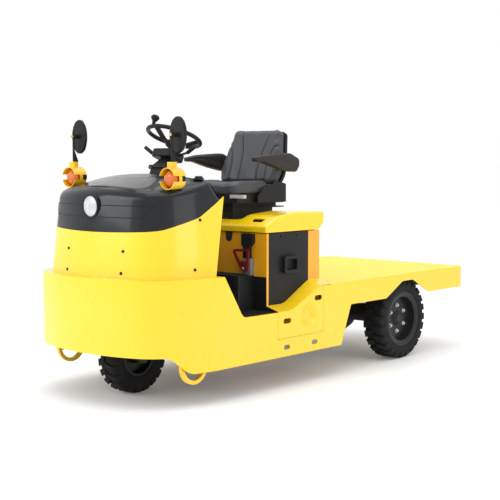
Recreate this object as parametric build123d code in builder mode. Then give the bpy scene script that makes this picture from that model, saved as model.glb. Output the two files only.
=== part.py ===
"""Electric tow tractor with a load deck: one steered front wheel, a driven rear axle, a seat on the battery lid.

The front faces -Y, the vehicle's left side is +X, the ground is Z = 0 and the origin lies under the
middle of the whole length.
"""

from build123d import *
from math import cos, radians, sin, sqrt
import os

os.makedirs("parts", exist_ok=True)

# Driving dimensions, in millimetres
body_width = 1050
front_overhang = 350
wheelbase = 1725
deck_overhang = 600
hitch_reach = 75
nose_length = 480
step_length = 405
housing_length = 440
housing_half = 442
shell_wall = 6
sheet = 4
seat_gap = 0.3

# Stations along the vehicle
overall_length = front_overhang + wheelbase + deck_overhang + hitch_reach
half_width = body_width / 2
shell_inside = half_width - shell_wall
nose_y = -overall_length / 2
front_axle_y = nose_y + front_overhang
rear_axle_y = front_axle_y + wheelbase
deck_rear_y = rear_axle_y + deck_overhang
hitch_rear_y = deck_rear_y + hitch_reach
notch_top_y = nose_y + nose_length
housing_front_y = notch_top_y + step_length
housing_rear_y = housing_front_y + housing_length

# Heights above the ground
sill_z = 165
nose_bottom_z = 250
diaphragm_z = 452
step_z = 403
floor_z = 583
shelf_z = 617
deck_z = 515
deck_edge_z = 383
rail_front_z = 183
housing_floor_z = 283
lid_bottom_z = 808
lid_top_z = 905
lid_seal = 5

deck_plate = 6
deck_under_z = deck_z - deck_plate
housing_top_z = lid_bottom_z - lid_seal

# Plan of the nose: three arcs that run into each other, as angles off a line across the front
bow_angle = 19.6
corner_angle = 65
corner_radius = 230
flank_radius = 681
bow_radius = (
    half_width
    - corner_radius * (sin(radians(corner_angle)) - sin(radians(bow_angle)))
    - flank_radius * (1 - sin(radians(corner_angle)))
) / sin(radians(bow_angle))


def nose_outline(inset, rear_y, height, wall=None):
    """Plan of the nose at one height: closed, or a band of one wall that is open at the rear."""

    def half_outline(depth):
        bow = JernArc((0, nose_y + depth), (1, 0), bow_radius - depth, bow_angle)
        corner = JernArc(bow @ 1, bow % 1, corner_radius - depth, corner_angle - bow_angle)
        flank = JernArc(corner @ 1, corner % 1, flank_radius - depth, 90 - corner_angle)
        side = Line(flank @ 1, (half_width - depth, rear_y))
        return bow @ 0, side @ 1

    with BuildSketch(Plane.XY.offset(height)) as outline:
        with BuildLine():
            front, rear = half_outline(inset)
            if wall is None:
                Polyline(rear, (0, rear_y), front)
            else:
                inner_front, inner_rear = half_outline(inset + wall)
                Line(rear, inner_rear)
                Line(front, inner_front)
        make_face()
        mirror(about=Plane.YZ)
    return outline.sketch


def rounded_face(plane, corners):
    """Closed face through a table of corners, each with its two coordinates and its radius."""
    with BuildSketch(plane) as face:
        with BuildLine():
            FilletPolyline(
                [(across, up) for across, up, radius in corners],
                radius=[radius for across, up, radius in corners],
                close=True,
            )
        make_face()
    return face.sketch


def side_face(corners, at_x=0):
    """Closed face in a side view, from corners given as Y, Z and radius."""
    return rounded_face(Plane.YZ.offset(at_x), corners)


def finish(piece, name):
    """Label one finished piece and write it."""
    piece.part.label = name
    export_step(piece.part, f"parts/{name}.step")


# Side view of the outer shell and of what follows its edges
notch_lean = 134
notch_foot_y = notch_top_y + notch_lean
ledge_start_y = housing_front_y + 105
ledge_end_y = housing_rear_y - 100
ledge_rise = 25
ledge_radius = 110
arch_half_base = 222
arch_half_top = 55
arch_top_z = 471
sill_front_y = front_axle_y - 80
sill_front_rake = 100
sill_rear_y = housing_rear_y + 95
sill_rear_rake = 90
hatch_front_y = housing_front_y - 5
hatch_rear_y = housing_rear_y - 67
hatch_bottom_z = 259.5
hatch_seam = 2

side_top = (
    # y, z, radius, from the nose to the rear of the deck
    (nose_y - 10, shelf_z, 0),
    (notch_top_y, shelf_z, 0),
    (notch_foot_y, step_z, 45),
    (ledge_start_y, step_z - sheet, ledge_radius),
    (ledge_end_y, deck_under_z, ledge_radius),
    (deck_rear_y, deck_under_z, 0),
)
side_bottom = (
    # y, z, radius, from the rear of the deck back to the nose
    (deck_rear_y, deck_edge_z, 0),
    (rear_axle_y + arch_half_base, deck_edge_z, 60),
    (rear_axle_y + arch_half_top, arch_top_z, 60),
    (rear_axle_y - arch_half_top, arch_top_z, 60),
    (rear_axle_y - arch_half_base, deck_edge_z, 30),
    (sill_rear_y + sill_rear_rake, deck_edge_z, 12),
    (sill_rear_y, sill_z, 12),
    (sill_front_y, sill_z, 75),
    (sill_front_y - sill_front_rake, nose_bottom_z, 75),
    (nose_y - 10, nose_bottom_z, 0),
)

# Outer shell: one plate round the nose, along both sills and under the deck's edges
shelf_width = 62
drain_length = 50
drain_width = 24
drain_inset = 74
drain_z = 213

with BuildPart() as body_shell:
    extrude(nose_outline(0, deck_rear_y, 0, wall=shell_wall), amount=shelf_z)
    extrude(side_face(side_top + side_bottom), amount=half_width, both=True, mode=Mode.INTERSECT)
    extrude(nose_outline(1, notch_top_y, shelf_z - sheet, wall=shelf_width), amount=sheet)
    with BuildSketch(Plane.YZ.offset(shell_inside - 1)):
        with Locations(((hatch_front_y + hatch_rear_y) / 2, (hatch_bottom_z + deck_z) / 2)):
            Rectangle(hatch_rear_y - hatch_front_y, deck_z - hatch_bottom_z)
        with Locations((hatch_front_y + drain_inset, drain_z), (hatch_rear_y - drain_inset, drain_z)):
            SlotOverall(drain_length, drain_width)
    extrude(amount=shell_wall + 2, mode=Mode.SUBTRACT)
    mirror(about=Plane.YZ, mode=Mode.INTERSECT)
finish(body_shell, "body_shell")

# Side hatches: a bolted plate on each side with two finger slots and a round pressed dish
dish_radius = 68
dish_depth = 22
dish_floor_radius = 34
dish_y = (hatch_front_y + hatch_rear_y) / 2 + 66
dish_z = 360
slot_length = 64
slot_width = 27
front_slot = (hatch_front_y + 76, 350)
rear_slot = (hatch_rear_y - 43, 448)

hatch_corners = (
    # y, z, radius
    (hatch_front_y + hatch_seam, step_z - sheet, 0),
    (ledge_start_y, step_z - sheet, ledge_radius),
    (ledge_end_y, deck_under_z, ledge_radius),
    (hatch_rear_y - hatch_seam, deck_under_z, 0),
    (hatch_rear_y - hatch_seam, hatch_bottom_z + hatch_seam, 6),
    (hatch_front_y + hatch_seam, hatch_bottom_z + hatch_seam, 6),
)

with BuildPart() as side_hatches:
    extrude(side_face(hatch_corners, shell_inside), amount=shell_wall)
    with BuildSketch(Plane.YZ.offset(shell_inside)):
        with Locations(front_slot, rear_slot):
            SlotOverall(slot_length, slot_width)
        with Locations((dish_y, dish_z)):
            Circle(dish_radius)
    extrude(amount=shell_wall, mode=Mode.SUBTRACT)
    with BuildSketch(Plane.XY.offset(dish_z)):
        with BuildLine():
            Polyline(
                (half_width, dish_y + dish_radius),
                (half_width - dish_depth, dish_y + dish_floor_radius),
                (half_width - dish_depth, dish_y),
                (half_width - dish_depth - sheet, dish_y),
                (half_width - dish_depth - sheet, dish_y + dish_floor_radius + 1),
                (shell_inside - 1, dish_y + dish_radius),
                close=True,
            )
        make_face()
    revolve(axis=Axis((0, dish_y, dish_z), (1, 0, 0)))
    mirror(about=Plane.YZ)
finish(side_hatches, "side_hatches")

# Ledges between the outer shell and the battery housing, one each side, sloping down outwards
ledge_top_outer = (
    (housing_front_y, step_z, 0),
    (ledge_start_y, step_z, ledge_radius),
    (ledge_end_y, deck_z, ledge_radius),
    (housing_rear_y, deck_z, 0),
)
ledge_top_inner = (
    (housing_front_y, step_z + ledge_rise, 0),
    (ledge_start_y + 30, step_z + ledge_rise, ledge_radius),
    (ledge_end_y + 5, deck_z + ledge_rise, ledge_radius),
    (housing_rear_y, deck_z + ledge_rise, 0),
)


def ledge_section(top, at_x):
    under = tuple((y, z - sheet, radius) for y, z, radius in reversed(top))
    return side_face(top + under, at_x)


with BuildPart() as side_ledges:
    add(ledge_section(ledge_top_inner, housing_half))
    add(ledge_section(ledge_top_outer, half_width))
    loft(ruled=True)
    mirror(about=Plane.YZ)
finish(side_ledges, "side_ledges")

# Upper nose: a tapering panel on the shelf, with the hood above it on one shared seam
panel_inset = 50
panel_taper = 0.11
panel_foot_y = notch_top_y - 7
hood_tip_y = notch_top_y + 92
hood_tip_z = 1003
hood_wall = 5
seam_curve = (
    # y, z, radius, from the hood's rear tip to the nose
    (hood_tip_y, hood_tip_z, 0),
    (hood_tip_y - 182, 850 + 55, 160),
    (hood_tip_y - 377, 850, 260),
    (nose_y - 5, 826, 0),
)
panel_profile = (
    (nose_y - 5, shelf_z, 0),
    (panel_foot_y, shelf_z, 0),
) + seam_curve


def inset_at(height):
    """How far the upper nose lies inside the shell's plan at one height."""
    return panel_inset + (height - shelf_z) * panel_taper


with BuildPart() as nose_panel:
    for height in (shelf_z, hood_tip_z):
        add(nose_outline(inset_at(height), hood_tip_y, height, wall=sheet))
    loft(ruled=True)
    extrude(side_face(panel_profile), amount=half_width, both=True, mode=Mode.INTERSECT)
finish(nose_panel, "nose_panel")

# Headlight: one round lamp in the middle of the hood's front
headlight_z = 959
headlight_y = nose_y + inset_at(headlight_z)
bezel_radius = 62
bezel_depth = 40
bezel_reach = 10
bezel_rim = 12
lens_thick = 6
headlight_axis = Axis((0, 0, headlight_z), (0, 1, 0))
bezel_front_y = headlight_y - bezel_reach

# Steering column: its plane lies in the steering wheel's ring, with the normal up along the column
wheel_y = -720
wheel_z = 1305
column_lean = 22
column_plane = Plane(
    origin=(0, wheel_y, wheel_z),
    x_dir=(1, 0, 0),
    z_dir=(0, sin(radians(column_lean)), cos(radians(column_lean))),
)
shroud_width = 132
shroud_depth = 96
shroud_round = 22
shroud_gap = 3

# Hood: a crowned black moulding that closes the nose from above, open below
hood_edge_radius = 60
hood_base_z = 820
hood_front_z = 1017
hood_back_z = 1141
hood_crown = 45
hood_tail_run = 98
hood_tail_z = 1125
hood_section_half = 440


def hood_top_section(at_y, top_z):
    """Cross-section under the hood's crowned top, seen from the front."""
    edge_z = top_z - hood_crown
    foot_z = hood_base_z - 30
    half = hood_section_half
    with BuildSketch(Plane.XZ.offset(-at_y)) as section:
        with BuildLine():
            crown = ThreePointArc((-half, edge_z), (0, top_z), (half, edge_z))
            Polyline(crown @ 1, (half, foot_z), (-half, foot_z), crown @ 0)
        make_face()
    return section.sketch


def hood_solid(skin):
    """The hood's form, lying one skin inside its outer surface."""
    tail_y = hood_tip_y - 1.5 * skin
    tail = (
        (nose_y - 5, hood_tail_z + 50, 0),
        (tail_y - hood_tail_run - 40, hood_tail_z + 48, 0),
        (tail_y - hood_tail_run, hood_tail_z - skin, 0),
        (tail_y + max(skin, 0), hood_tip_z - 2 * max(skin, 0), 0),
    )
    seam = tuple((y, z - 2 * max(skin, 0), radius) for y, z, radius in seam_curve[1:])
    with BuildPart() as crowned:
        add(hood_top_section(nose_y - 5, hood_front_z - skin))
        add(hood_top_section(hood_tip_y + 5, hood_back_z - skin))
        loft(ruled=True)
    with BuildPart() as hood_form:
        for height in (hood_base_z - 20, hood_back_z + 20):
            add(nose_outline(inset_at(height) + skin, hood_tip_y, height))
        loft(ruled=True)
        extrude(side_face(tail + seam), amount=half_width, both=True, mode=Mode.INTERSECT)
        add(crowned.part, mode=Mode.INTERSECT)
        crest = [
            edge
            for edge in hood_form.edges()
            if edge.center().Z > 1005 and edge.bounding_box().size.Z < 140
            and edge.bounding_box().min.Z > hood_tip_z - 10
        ]
        fillet(crest, hood_edge_radius - skin)
    return hood_form.part


def column_prism(width, depth, corner, low, high):
    """Upright block along the column, between two distances below the steering wheel's plane."""
    with BuildPart() as prism:
        with BuildSketch(column_plane.offset(-low)):
            RectangleRounded(width, depth, corner)
        extrude(amount=low - high)
    return prism.part


with BuildPart() as hood:
    add(hood_solid(0))
    add(hood_solid(hood_wall), mode=Mode.SUBTRACT)
    with BuildSketch(Plane.XZ.offset(-headlight_y - bezel_depth)):
        with Locations((0, headlight_z)):
            Circle(bezel_radius + seat_gap)
    extrude(amount=2 * bezel_depth, mode=Mode.SUBTRACT)
    clearance = 2 * shroud_gap
    add(
        column_prism(shroud_width + clearance, shroud_depth + clearance, shroud_round + shroud_gap, 900, 0),
        mode=Mode.SUBTRACT,
    )
finish(hood, "hood")

with BuildPart() as headlight_bezel:
    with BuildSketch(Plane.YZ):
        with BuildLine():
            Polyline(
                (bezel_front_y + bezel_depth, headlight_z),
                (bezel_front_y + bezel_depth, headlight_z + bezel_radius),
                (bezel_front_y + 4, headlight_z + bezel_radius),
                (bezel_front_y, headlight_z + bezel_radius - 4),
                (bezel_front_y, headlight_z + bezel_radius - bezel_rim + 2),
                (bezel_front_y + 3, headlight_z + bezel_radius - bezel_rim),
                (bezel_front_y + 12, headlight_z + bezel_radius - bezel_rim),
                (bezel_front_y + bezel_depth - sheet, headlight_z + 20),
                (bezel_front_y + bezel_depth - sheet, headlight_z),
                close=True,
            )
        make_face()
    revolve(axis=headlight_axis)
finish(headlight_bezel, "headlight_bezel")

lens_radius = bezel_radius - bezel_rim - seat_gap
with BuildPart() as headlight_lens:
    with BuildSketch(Plane.YZ):
        with BuildLine():
            dome = ThreePointArc(
                (bezel_front_y - 3, headlight_z),
                (bezel_front_y - 1, headlight_z + 0.6 * lens_radius),
                (bezel_front_y + 4, headlight_z + lens_radius),
            )
            Polyline(
                dome @ 1,
                (bezel_front_y + 4 + lens_thick, headlight_z + lens_radius),
                (bezel_front_y + 4, headlight_z),
                dome @ 0,
            )
        make_face()
    revolve(axis=headlight_axis)
finish(headlight_lens, "headlight_lens")

# Turn lamps: a slotted ring guard round an amber lens, on two feet at each side of the hood
lamp_x = 366
lamp_front_y = nose_y + 247
lamp_length = 77
lamp_z = 1094
guard_radius = 53
guard_wall = 4
lamp_lens_radius = 41
lamp_rear_y = lamp_front_y + lamp_length
stem_y = lamp_front_y + 35
clamp_top_z = lamp_z + guard_radius + 27
clamp_size = 40
hood_clear = hood_solid(-seat_gap)
lamp_axis = Axis((lamp_x, 0, lamp_z), (0, 1, 0))


def lamp_plane(at_y, at_z=lamp_z):
    """Plane across the turn lamp or its mirror, with its normal to the rear."""
    return Plane(origin=(lamp_x, at_y, at_z), x_dir=(1, 0, 0), z_dir=(0, 1, 0))


with BuildPart() as lamp_guards:
    with BuildSketch(lamp_plane(lamp_front_y)):
        Circle(guard_radius)
        Circle(guard_radius - guard_wall, mode=Mode.SUBTRACT)
    extrude(amount=lamp_length)
    for turn in (30, 150, 210, 330):
        with Locations(lamp_plane(lamp_front_y + 42).rotated((0, 0, turn))):
            with Locations((guard_radius, 0, 0)):
                Box(30, 26, 36, mode=Mode.SUBTRACT)
    with BuildSketch(Plane.XY.offset(clamp_top_z)):
        with Locations((lamp_x, stem_y)):
            RectangleRounded(clamp_size, clamp_size * 0.8, 5)
    extrude(amount=-(clamp_top_z - lamp_z - guard_radius + 5))
    with BuildSketch(lamp_plane(lamp_front_y)):
        Circle(guard_radius - guard_wall)
    extrude(amount=lamp_length, mode=Mode.SUBTRACT)
    add(hood_clear, mode=Mode.SUBTRACT)
    mirror(about=Plane.YZ)
finish(lamp_guards, "lamp_guards")

with BuildPart() as lamp_sockets:
    with BuildSketch(lamp_plane(lamp_rear_y - 30)):
        Circle(guard_radius - guard_wall - seat_gap)
    extrude(amount=30)
    with BuildSketch(lamp_plane(lamp_rear_y)):
        Circle(24)
    extrude(amount=26)
    with BuildSketch(Plane.XY.offset(lamp_z)):
        with Locations((lamp_x, lamp_rear_y + 13)):
            RectangleRounded(30, 26, 8)
    extrude(amount=-90)
    add(hood_clear, mode=Mode.SUBTRACT)
    mirror(about=Plane.YZ)
finish(lamp_sockets, "lamp_sockets")

with BuildPart() as lamp_lenses:
    with BuildSketch(Plane.YZ.offset(lamp_x)):
        with BuildLine():
            dome = ThreePointArc(
                (lamp_front_y + 6, lamp_z),
                (lamp_front_y + 12, lamp_z + 0.72 * lamp_lens_radius),
                (lamp_front_y + 28, lamp_z + lamp_lens_radius),
            )
            Polyline(
                dome @ 1,
                (lamp_rear_y - 30, lamp_z + lamp_lens_radius),
                (lamp_rear_y - 30, lamp_z),
                dome @ 0,
            )
        make_face()
    revolve(axis=lamp_axis)
    mirror(about=Plane.YZ)
finish(lamp_lenses, "lamp_lenses")

# Mirrors: an oval glass and shell on a thin stem that stands on each lamp's clamp
mirror_z = 1304
mirror_width = 108
mirror_height = 176
mirror_thick = 16
mirror_back = 32
stem_radius = 5.5
mirror_y = stem_y + mirror_back

with BuildPart() as mirror_stems:
    with BuildSketch(Plane.XY.offset(clamp_top_z)):
        with Locations((lamp_x, stem_y)):
            Circle(stem_radius)
    extrude(amount=mirror_z + 26 - clamp_top_z)
    with BuildSketch(lamp_plane(stem_y, mirror_z)):
        Circle(stem_radius + 5)
    extrude(amount=mirror_back)
    with BuildSketch(Plane.YZ.offset(lamp_x - 3)):
        with BuildLine():
            Polyline(
                (stem_y, clamp_top_z),
                (stem_y + 30, clamp_top_z),
                (stem_y, clamp_top_z + 70),
                close=True,
            )
        make_face()
    extrude(amount=6)
    mirror(about=Plane.YZ)

with BuildPart() as mirrors:
    with BuildSketch(lamp_plane(mirror_y, mirror_z)):
        Ellipse(mirror_width / 2, mirror_height / 2)
    extrude(amount=mirror_thick)
    fillet(mirrors.edges().group_by(Axis.Y)[0], 7)
    mirror(about=Plane.YZ)
    add(mirror_stems.part)
finish(mirrors, "mirrors")

# Operator's floor between the nose and the battery, with a low step well on each side
floor_half = 346
floor_front_y = nose_y + 125
well_wall = 4
well_front_y = notch_top_y + 104

with BuildPart() as operator_floor:
    with BuildSketch(Plane.XY.offset(floor_z)):
        with Locations((0, (floor_front_y + housing_front_y - well_wall) / 2)):
            Rectangle(2 * floor_half + 2 * well_wall, housing_front_y - well_wall - floor_front_y)
    extrude(amount=-shell_wall)

floor_under_z = floor_z - shell_wall

with BuildPart() as step_wells:
    with BuildSketch(Plane.XY.offset(step_z)):
        with BuildLine():
            Polyline(
                (floor_half, well_front_y),
                (shell_inside, well_front_y),
                (shell_inside, housing_front_y),
                (floor_half, housing_front_y),
                close=True,
            )
        make_face()
    extrude(amount=-well_wall)
    with BuildSketch(Plane.YZ.offset(floor_half)):
        with BuildLine():
            Polyline(
                (well_front_y, step_z - well_wall),
                (housing_front_y, step_z - well_wall),
                (housing_front_y, floor_under_z),
                (well_front_y, floor_under_z),
                close=True,
            )
        make_face()
    extrude(amount=well_wall)
    with BuildSketch(Plane.XZ.offset(-housing_front_y)):
        with BuildLine():
            Polyline(
                (floor_half, step_z - well_wall),
                (shell_inside, step_z - well_wall),
                (shell_inside, step_z + 2),
                (housing_half, step_z + ledge_rise - sheet),
                (housing_half, floor_under_z),
                (floor_half, floor_under_z),
                close=True,
            )
        make_face()
    extrude(amount=well_wall)
    with BuildSketch(Plane.XZ.offset(-well_front_y)):
        with BuildLine():
            Polyline(
                (floor_half, step_z - well_wall),
                (shell_inside, step_z - well_wall),
                (shell_inside, shelf_z - sheet),
                (floor_half + well_wall, shelf_z - sheet),
                (floor_half + well_wall, floor_under_z),
                (floor_half, floor_under_z),
                close=True,
            )
        make_face()
    extrude(amount=-well_wall)
    extrude(nose_outline(shell_wall, deck_rear_y, step_z - 20), amount=shelf_z, mode=Mode.INTERSECT)
    mirror(about=Plane.YZ)

with BuildPart() as floor_and_steps:
    add(operator_floor.part)
    add(step_wells.part)
finish(floor_and_steps, "floor_and_steps")

# Battery housing: four walls and a floor, open above and at both sides behind lift-off panels
side_wall = 8
panel_thick = 4
panel_front_y = housing_front_y + 18
panel_rear_y = housing_rear_y - 97
panel_seam = 1.5
panel_lap = 14
notch_x = 177
cable_notch_width = 52
cable_notch_depth = 40
panel_corners = (
    # y, z, radius
    (panel_front_y, step_z + ledge_rise, 0),
    (ledge_start_y + 30, step_z + ledge_rise, ledge_radius),
    (panel_rear_y, deck_z + 14, 0),
    (panel_rear_y, housing_top_z, 0),
    (panel_front_y, housing_top_z, 0),
)

with BuildPart() as battery_housing:
    with BuildSketch(Plane.XY.offset(housing_floor_z)):
        with Locations((0, (housing_front_y + housing_rear_y) / 2)):
            Rectangle(2 * housing_half, housing_length)
    extrude(amount=housing_top_z - housing_floor_z)
    with BuildSketch(Plane.XY.offset(housing_floor_z + sheet)):
        with Locations((0, (housing_front_y + housing_rear_y) / 2)):
            Rectangle(2 * (housing_half - side_wall), housing_length - 2 * sheet)
    extrude(amount=housing_top_z, mode=Mode.SUBTRACT)
    for near_x, grow in ((housing_half - panel_thick, panel_seam), (0, -panel_lap)):
        panel = side_face(panel_corners, near_x)
        opening = offset(panel, amount=grow, kind=Kind.INTERSECTION, mode=Mode.PRIVATE)
        extrude(opening, amount=housing_half, dir=(1, 0, 0), mode=Mode.SUBTRACT)
    mirror(about=Plane.YZ, mode=Mode.INTERSECT)
    with BuildSketch(Plane.XZ.offset(-housing_front_y)):
        with Locations((notch_x, housing_top_z)):
            SlotOverall(2 * cable_notch_depth, cable_notch_width, rotation=90)
    extrude(amount=-sheet, mode=Mode.SUBTRACT)
finish(battery_housing, "battery_housing")

grip_y = (panel_front_y + panel_rear_y) / 2
grip_z = 634
grip_width = 118
grip_height = 92
grip_reach = 24

with BuildPart() as side_panels:
    extrude(side_face(panel_corners, housing_half - panel_thick), amount=panel_thick)
    with BuildSketch(Plane.YZ.offset(housing_half - panel_thick)):
        for hole_y in (panel_front_y + 92, panel_rear_y - 96):
            with Locations((hole_y, housing_top_z - 18)):
                Circle(6)
    extrude(amount=panel_thick, mode=Mode.SUBTRACT)
    with BuildSketch(Plane.YZ.offset(housing_half)):
        with Locations((grip_y, grip_z)):
            RectangleRounded(grip_width, grip_height, 16)
            RectangleRounded(grip_width - 34, grip_height - 34, 8, mode=Mode.SUBTRACT)
    extrude(amount=grip_reach)
    mirror(about=Plane.YZ)
finish(side_panels, "side_panels")

battery_inset = 24
with BuildPart() as battery:
    with BuildSketch(Plane.XY.offset(housing_floor_z + sheet)):
        with Locations((0, (housing_front_y + housing_rear_y) / 2)):
            Rectangle(2 * (housing_half - battery_inset - side_wall), housing_length - 2 * battery_inset)
    extrude(amount=465)
finish(battery, "battery")

# Battery lid: a moulding with a low middle channel for the seat between two raised shoulders
lid_overhang = 7
lid_rear_y = housing_rear_y + 40
lid_half = housing_half + 5
lid_wall = 5
channel_half = 246
channel_z = 866
hinge_y = housing_rear_y + 18
hinge_z = housing_top_z - 2
lid_round = 14


def lid_solid(skin):
    """The lid's form, lying one skin inside its outer surface."""
    front_y = housing_front_y - lid_overhang + skin
    rear_y = lid_rear_y - skin
    top_z = lid_top_z - skin
    lid_corners = (
        # y, z, radius
        (front_y, lid_bottom_z - skin, 0),
        (front_y, lid_bottom_z + 34 - skin / 2, 20),
        (housing_front_y + 95, top_z - 12, 130),
        (housing_front_y + 250, top_z + 2, 300),
        (rear_y, top_z - 2, 12),
        (rear_y, lid_bottom_z + 33, 4),
        (rear_y - 40, lid_bottom_z - skin, 0),
    )
    channel_corners = (
        # x, z, radius
        (-channel_half - skin + 30, channel_z - skin, lid_round + skin),
        (channel_half + skin - 30, channel_z - skin, lid_round + skin),
        (channel_half + skin + 10, lid_top_z + 30, 0),
        (-channel_half - skin - 10, lid_top_z + 30, 0),
    )
    with BuildPart() as lid_form:
        extrude(side_face(lid_corners), amount=lid_half - skin, both=True)
        channel = rounded_face(Plane.XZ.offset(-housing_front_y + lid_overhang + 10), channel_corners)
        extrude(channel, amount=-housing_length - 100, mode=Mode.SUBTRACT)
        shoulders = lid_form.edges().filter_by(
            lambda edge: edge.center().Z > channel_z + 8 and edge.bounding_box().size.Y > 20
        )
        fillet(shoulders, lid_round - skin)
    return lid_form.part


# The lid's hinges lie under its rear edge: a lug each side of the lid's own arm, with a pin through both
hinge_x = 300
hinge_barrel = 11
hinge_pin_radius = 5
hinge_arm = 20
hinge_lug = 8
handle_x = 345
handle_width = 76
handle_height = 26
handle_z = 872


def hinge_plane(at_x):
    return Plane(origin=(at_x, hinge_y, hinge_z), x_dir=(0, 1, 0), z_dir=(1, 0, 0))


with BuildPart() as battery_lid:
    add(lid_solid(0))
    add(lid_solid(lid_wall), mode=Mode.SUBTRACT)
    with BuildSketch(Plane.XZ.offset(-housing_front_y - 60)):
        with Locations((handle_x, handle_z)):
            RectangleRounded(handle_width, handle_height, 8)
    extrude(amount=120, mode=Mode.SUBTRACT)
    for side in (-1, 1):
        with BuildSketch(hinge_plane(side * hinge_x - hinge_arm / 2)):
            Circle(hinge_barrel)
            with BuildLine():
                Polyline(
                    (-hinge_barrel, 0),
                    (hinge_barrel, 0),
                    (lid_rear_y - lid_wall - hinge_y, lid_bottom_z + 44 - hinge_z),
                    (lid_rear_y - lid_wall - hinge_y, channel_z - lid_wall - hinge_z),
                    (-hinge_barrel, channel_z - lid_wall - hinge_z),
                    close=True,
                )
            make_face()
            Circle(hinge_pin_radius + seat_gap, mode=Mode.SUBTRACT)
        extrude(amount=hinge_arm)
finish(battery_lid, "battery_lid")

with BuildPart() as lid_hinges:
    for side in (-1, 1):
        for lug in (-1, 1):
            near = side * hinge_x + lug * (hinge_arm / 2 + hinge_lug / 2 + 1) - hinge_lug / 2
            with BuildSketch(hinge_plane(near)):
                Circle(hinge_barrel)
                with BuildLine():
                    Polyline(
                        (0, hinge_barrel),
                        (housing_rear_y - hinge_y, -2),
                        (housing_rear_y - hinge_y, -3 * hinge_barrel),
                        (0, -hinge_barrel),
                        close=True,
                    )
                make_face()
            extrude(amount=hinge_lug)
        with BuildSketch(hinge_plane(side * hinge_x - hinge_arm / 2 - hinge_lug)):
            Circle(hinge_pin_radius)
        extrude(amount=hinge_arm + 2 * hinge_lug)

# Rubber buffers on the housing's front wall, which the lid rests on
buffer_half = 30
with BuildPart() as lid_buffers:
    with BuildSketch(Plane.XY.offset(housing_top_z)):
        for buffer_x in (-housing_half + 60, housing_half - 60):
            with Locations((buffer_x, housing_front_y + sheet / 2)):
                RectangleRounded(2 * buffer_half, sheet, 1.5)
    extrude(amount=lid_top_z - lid_wall - housing_top_z)
    add(lid_solid(lid_wall + seat_gap), mode=Mode.INTERSECT)

with BuildPart() as lid_supports:
    add(lid_hinges.part)
    add(lid_buffers.part)
finish(lid_supports, "lid_supports")

# Cable connector in front of the battery, with its bracket and a triangular pull handle
connector_x = 300
connector_depth = 26
connector_top_z = 800
connector_foot_z = 652
pull_top_z = 721
pull_foot_z = 605
pull_left_x = 228
pull_right_x = 352
pull_bar = 14
pull_y = housing_front_y - connector_depth - 4 - seat_gap
bracket_x = 353

with BuildPart() as cable_connector:
    with BuildSketch(Plane.XZ.offset(-housing_front_y)):
        with BuildLine():
            Polyline(
                (connector_x - 12, connector_top_z),
                (connector_x + 64, connector_top_z),
                (connector_x + 64, connector_top_z - 46),
                (connector_x + 40, connector_top_z - 70),
                (connector_x + 40, connector_foot_z - 40),
                (connector_x, connector_foot_z - 40),
                (connector_x, connector_top_z - 70),
                (connector_x - 12, connector_top_z - 60),
                close=True,
            )
        make_face()
    extrude(amount=connector_depth)
    fillet(cable_connector.edges().filter_by(Axis.Y), 6)
finish(cable_connector, "cable_connector")

pull_corners = (
    # x, z, radius
    (pull_left_x, pull_top_z - 4, 16),
    (pull_right_x, pull_top_z, 16),
    (pull_right_x - 6, pull_foot_z + 20, 10),
    (pull_right_x - 30, pull_foot_z, 10),
    (pull_right_x - 58, pull_foot_z + 6, 10),
)
with BuildPart() as pull_handle:
    outline = rounded_face(Plane.XZ.offset(-pull_y), pull_corners)
    extrude(outline, amount=8)
    hole = offset(outline, amount=-pull_bar, mode=Mode.PRIVATE)
    extrude(hole, amount=8, mode=Mode.SUBTRACT)
    with BuildSketch(Plane.XZ.offset(-pull_y)):
        with BuildLine():
            Polyline(
                (pull_right_x - 56, pull_foot_z + 4),
                (pull_right_x - 8, pull_foot_z + 2),
                (pull_right_x - 8, pull_foot_z + 50),
                (pull_right_x - 74, pull_foot_z + 50),
                close=True,
            )
        make_face()
    extrude(amount=8)
finish(pull_handle, "pull_handle")

with BuildPart() as handle_bracket:
    with BuildSketch(Plane.XY.offset(floor_z)):
        with BuildLine():
            Polyline(
                (bracket_x - 50, housing_front_y - connector_depth - 8 + 8),
                (bracket_x, housing_front_y - connector_depth),
                (bracket_x, housing_front_y),
                (bracket_x + 4, housing_front_y),
                (bracket_x + 4, housing_front_y - connector_depth - 8 + 4),
                (bracket_x - 50, housing_front_y - connector_depth - 4),
                close=True,
            )
        make_face()
    extrude(amount=88)
finish(handle_bracket, "handle_bracket")

# Seat base: a low suspension block between plates, in the lid's channel
base_half = 150
base_front_y = -430
base_rear_y = -103
base_plate_half = 170
base_plate_rear_y = -25
base_plate = 6
base_low_z = channel_z + 55
base_high_z = base_low_z + 32

with BuildPart() as seat_base:
    for half, front_y, rear_y, low_z, high_z in (
        # half width, front, rear, bottom, top
        (base_half, base_front_y, base_rear_y, channel_z, base_low_z),
        (base_plate_half, base_front_y - 20, base_plate_rear_y, base_low_z, base_low_z + base_plate),
        (base_half, base_front_y, base_rear_y + 30, base_low_z + base_plate, base_high_z - base_plate),
        (base_plate_half, base_front_y - 20, base_plate_rear_y, base_high_z - base_plate, base_high_z),
    ):
        with BuildSketch(Plane.XY.offset(low_z)):
            with Locations((0, (front_y + rear_y) / 2)):
                Rectangle(2 * half, rear_y - front_y)
        extrude(amount=high_z - low_z)

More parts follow.
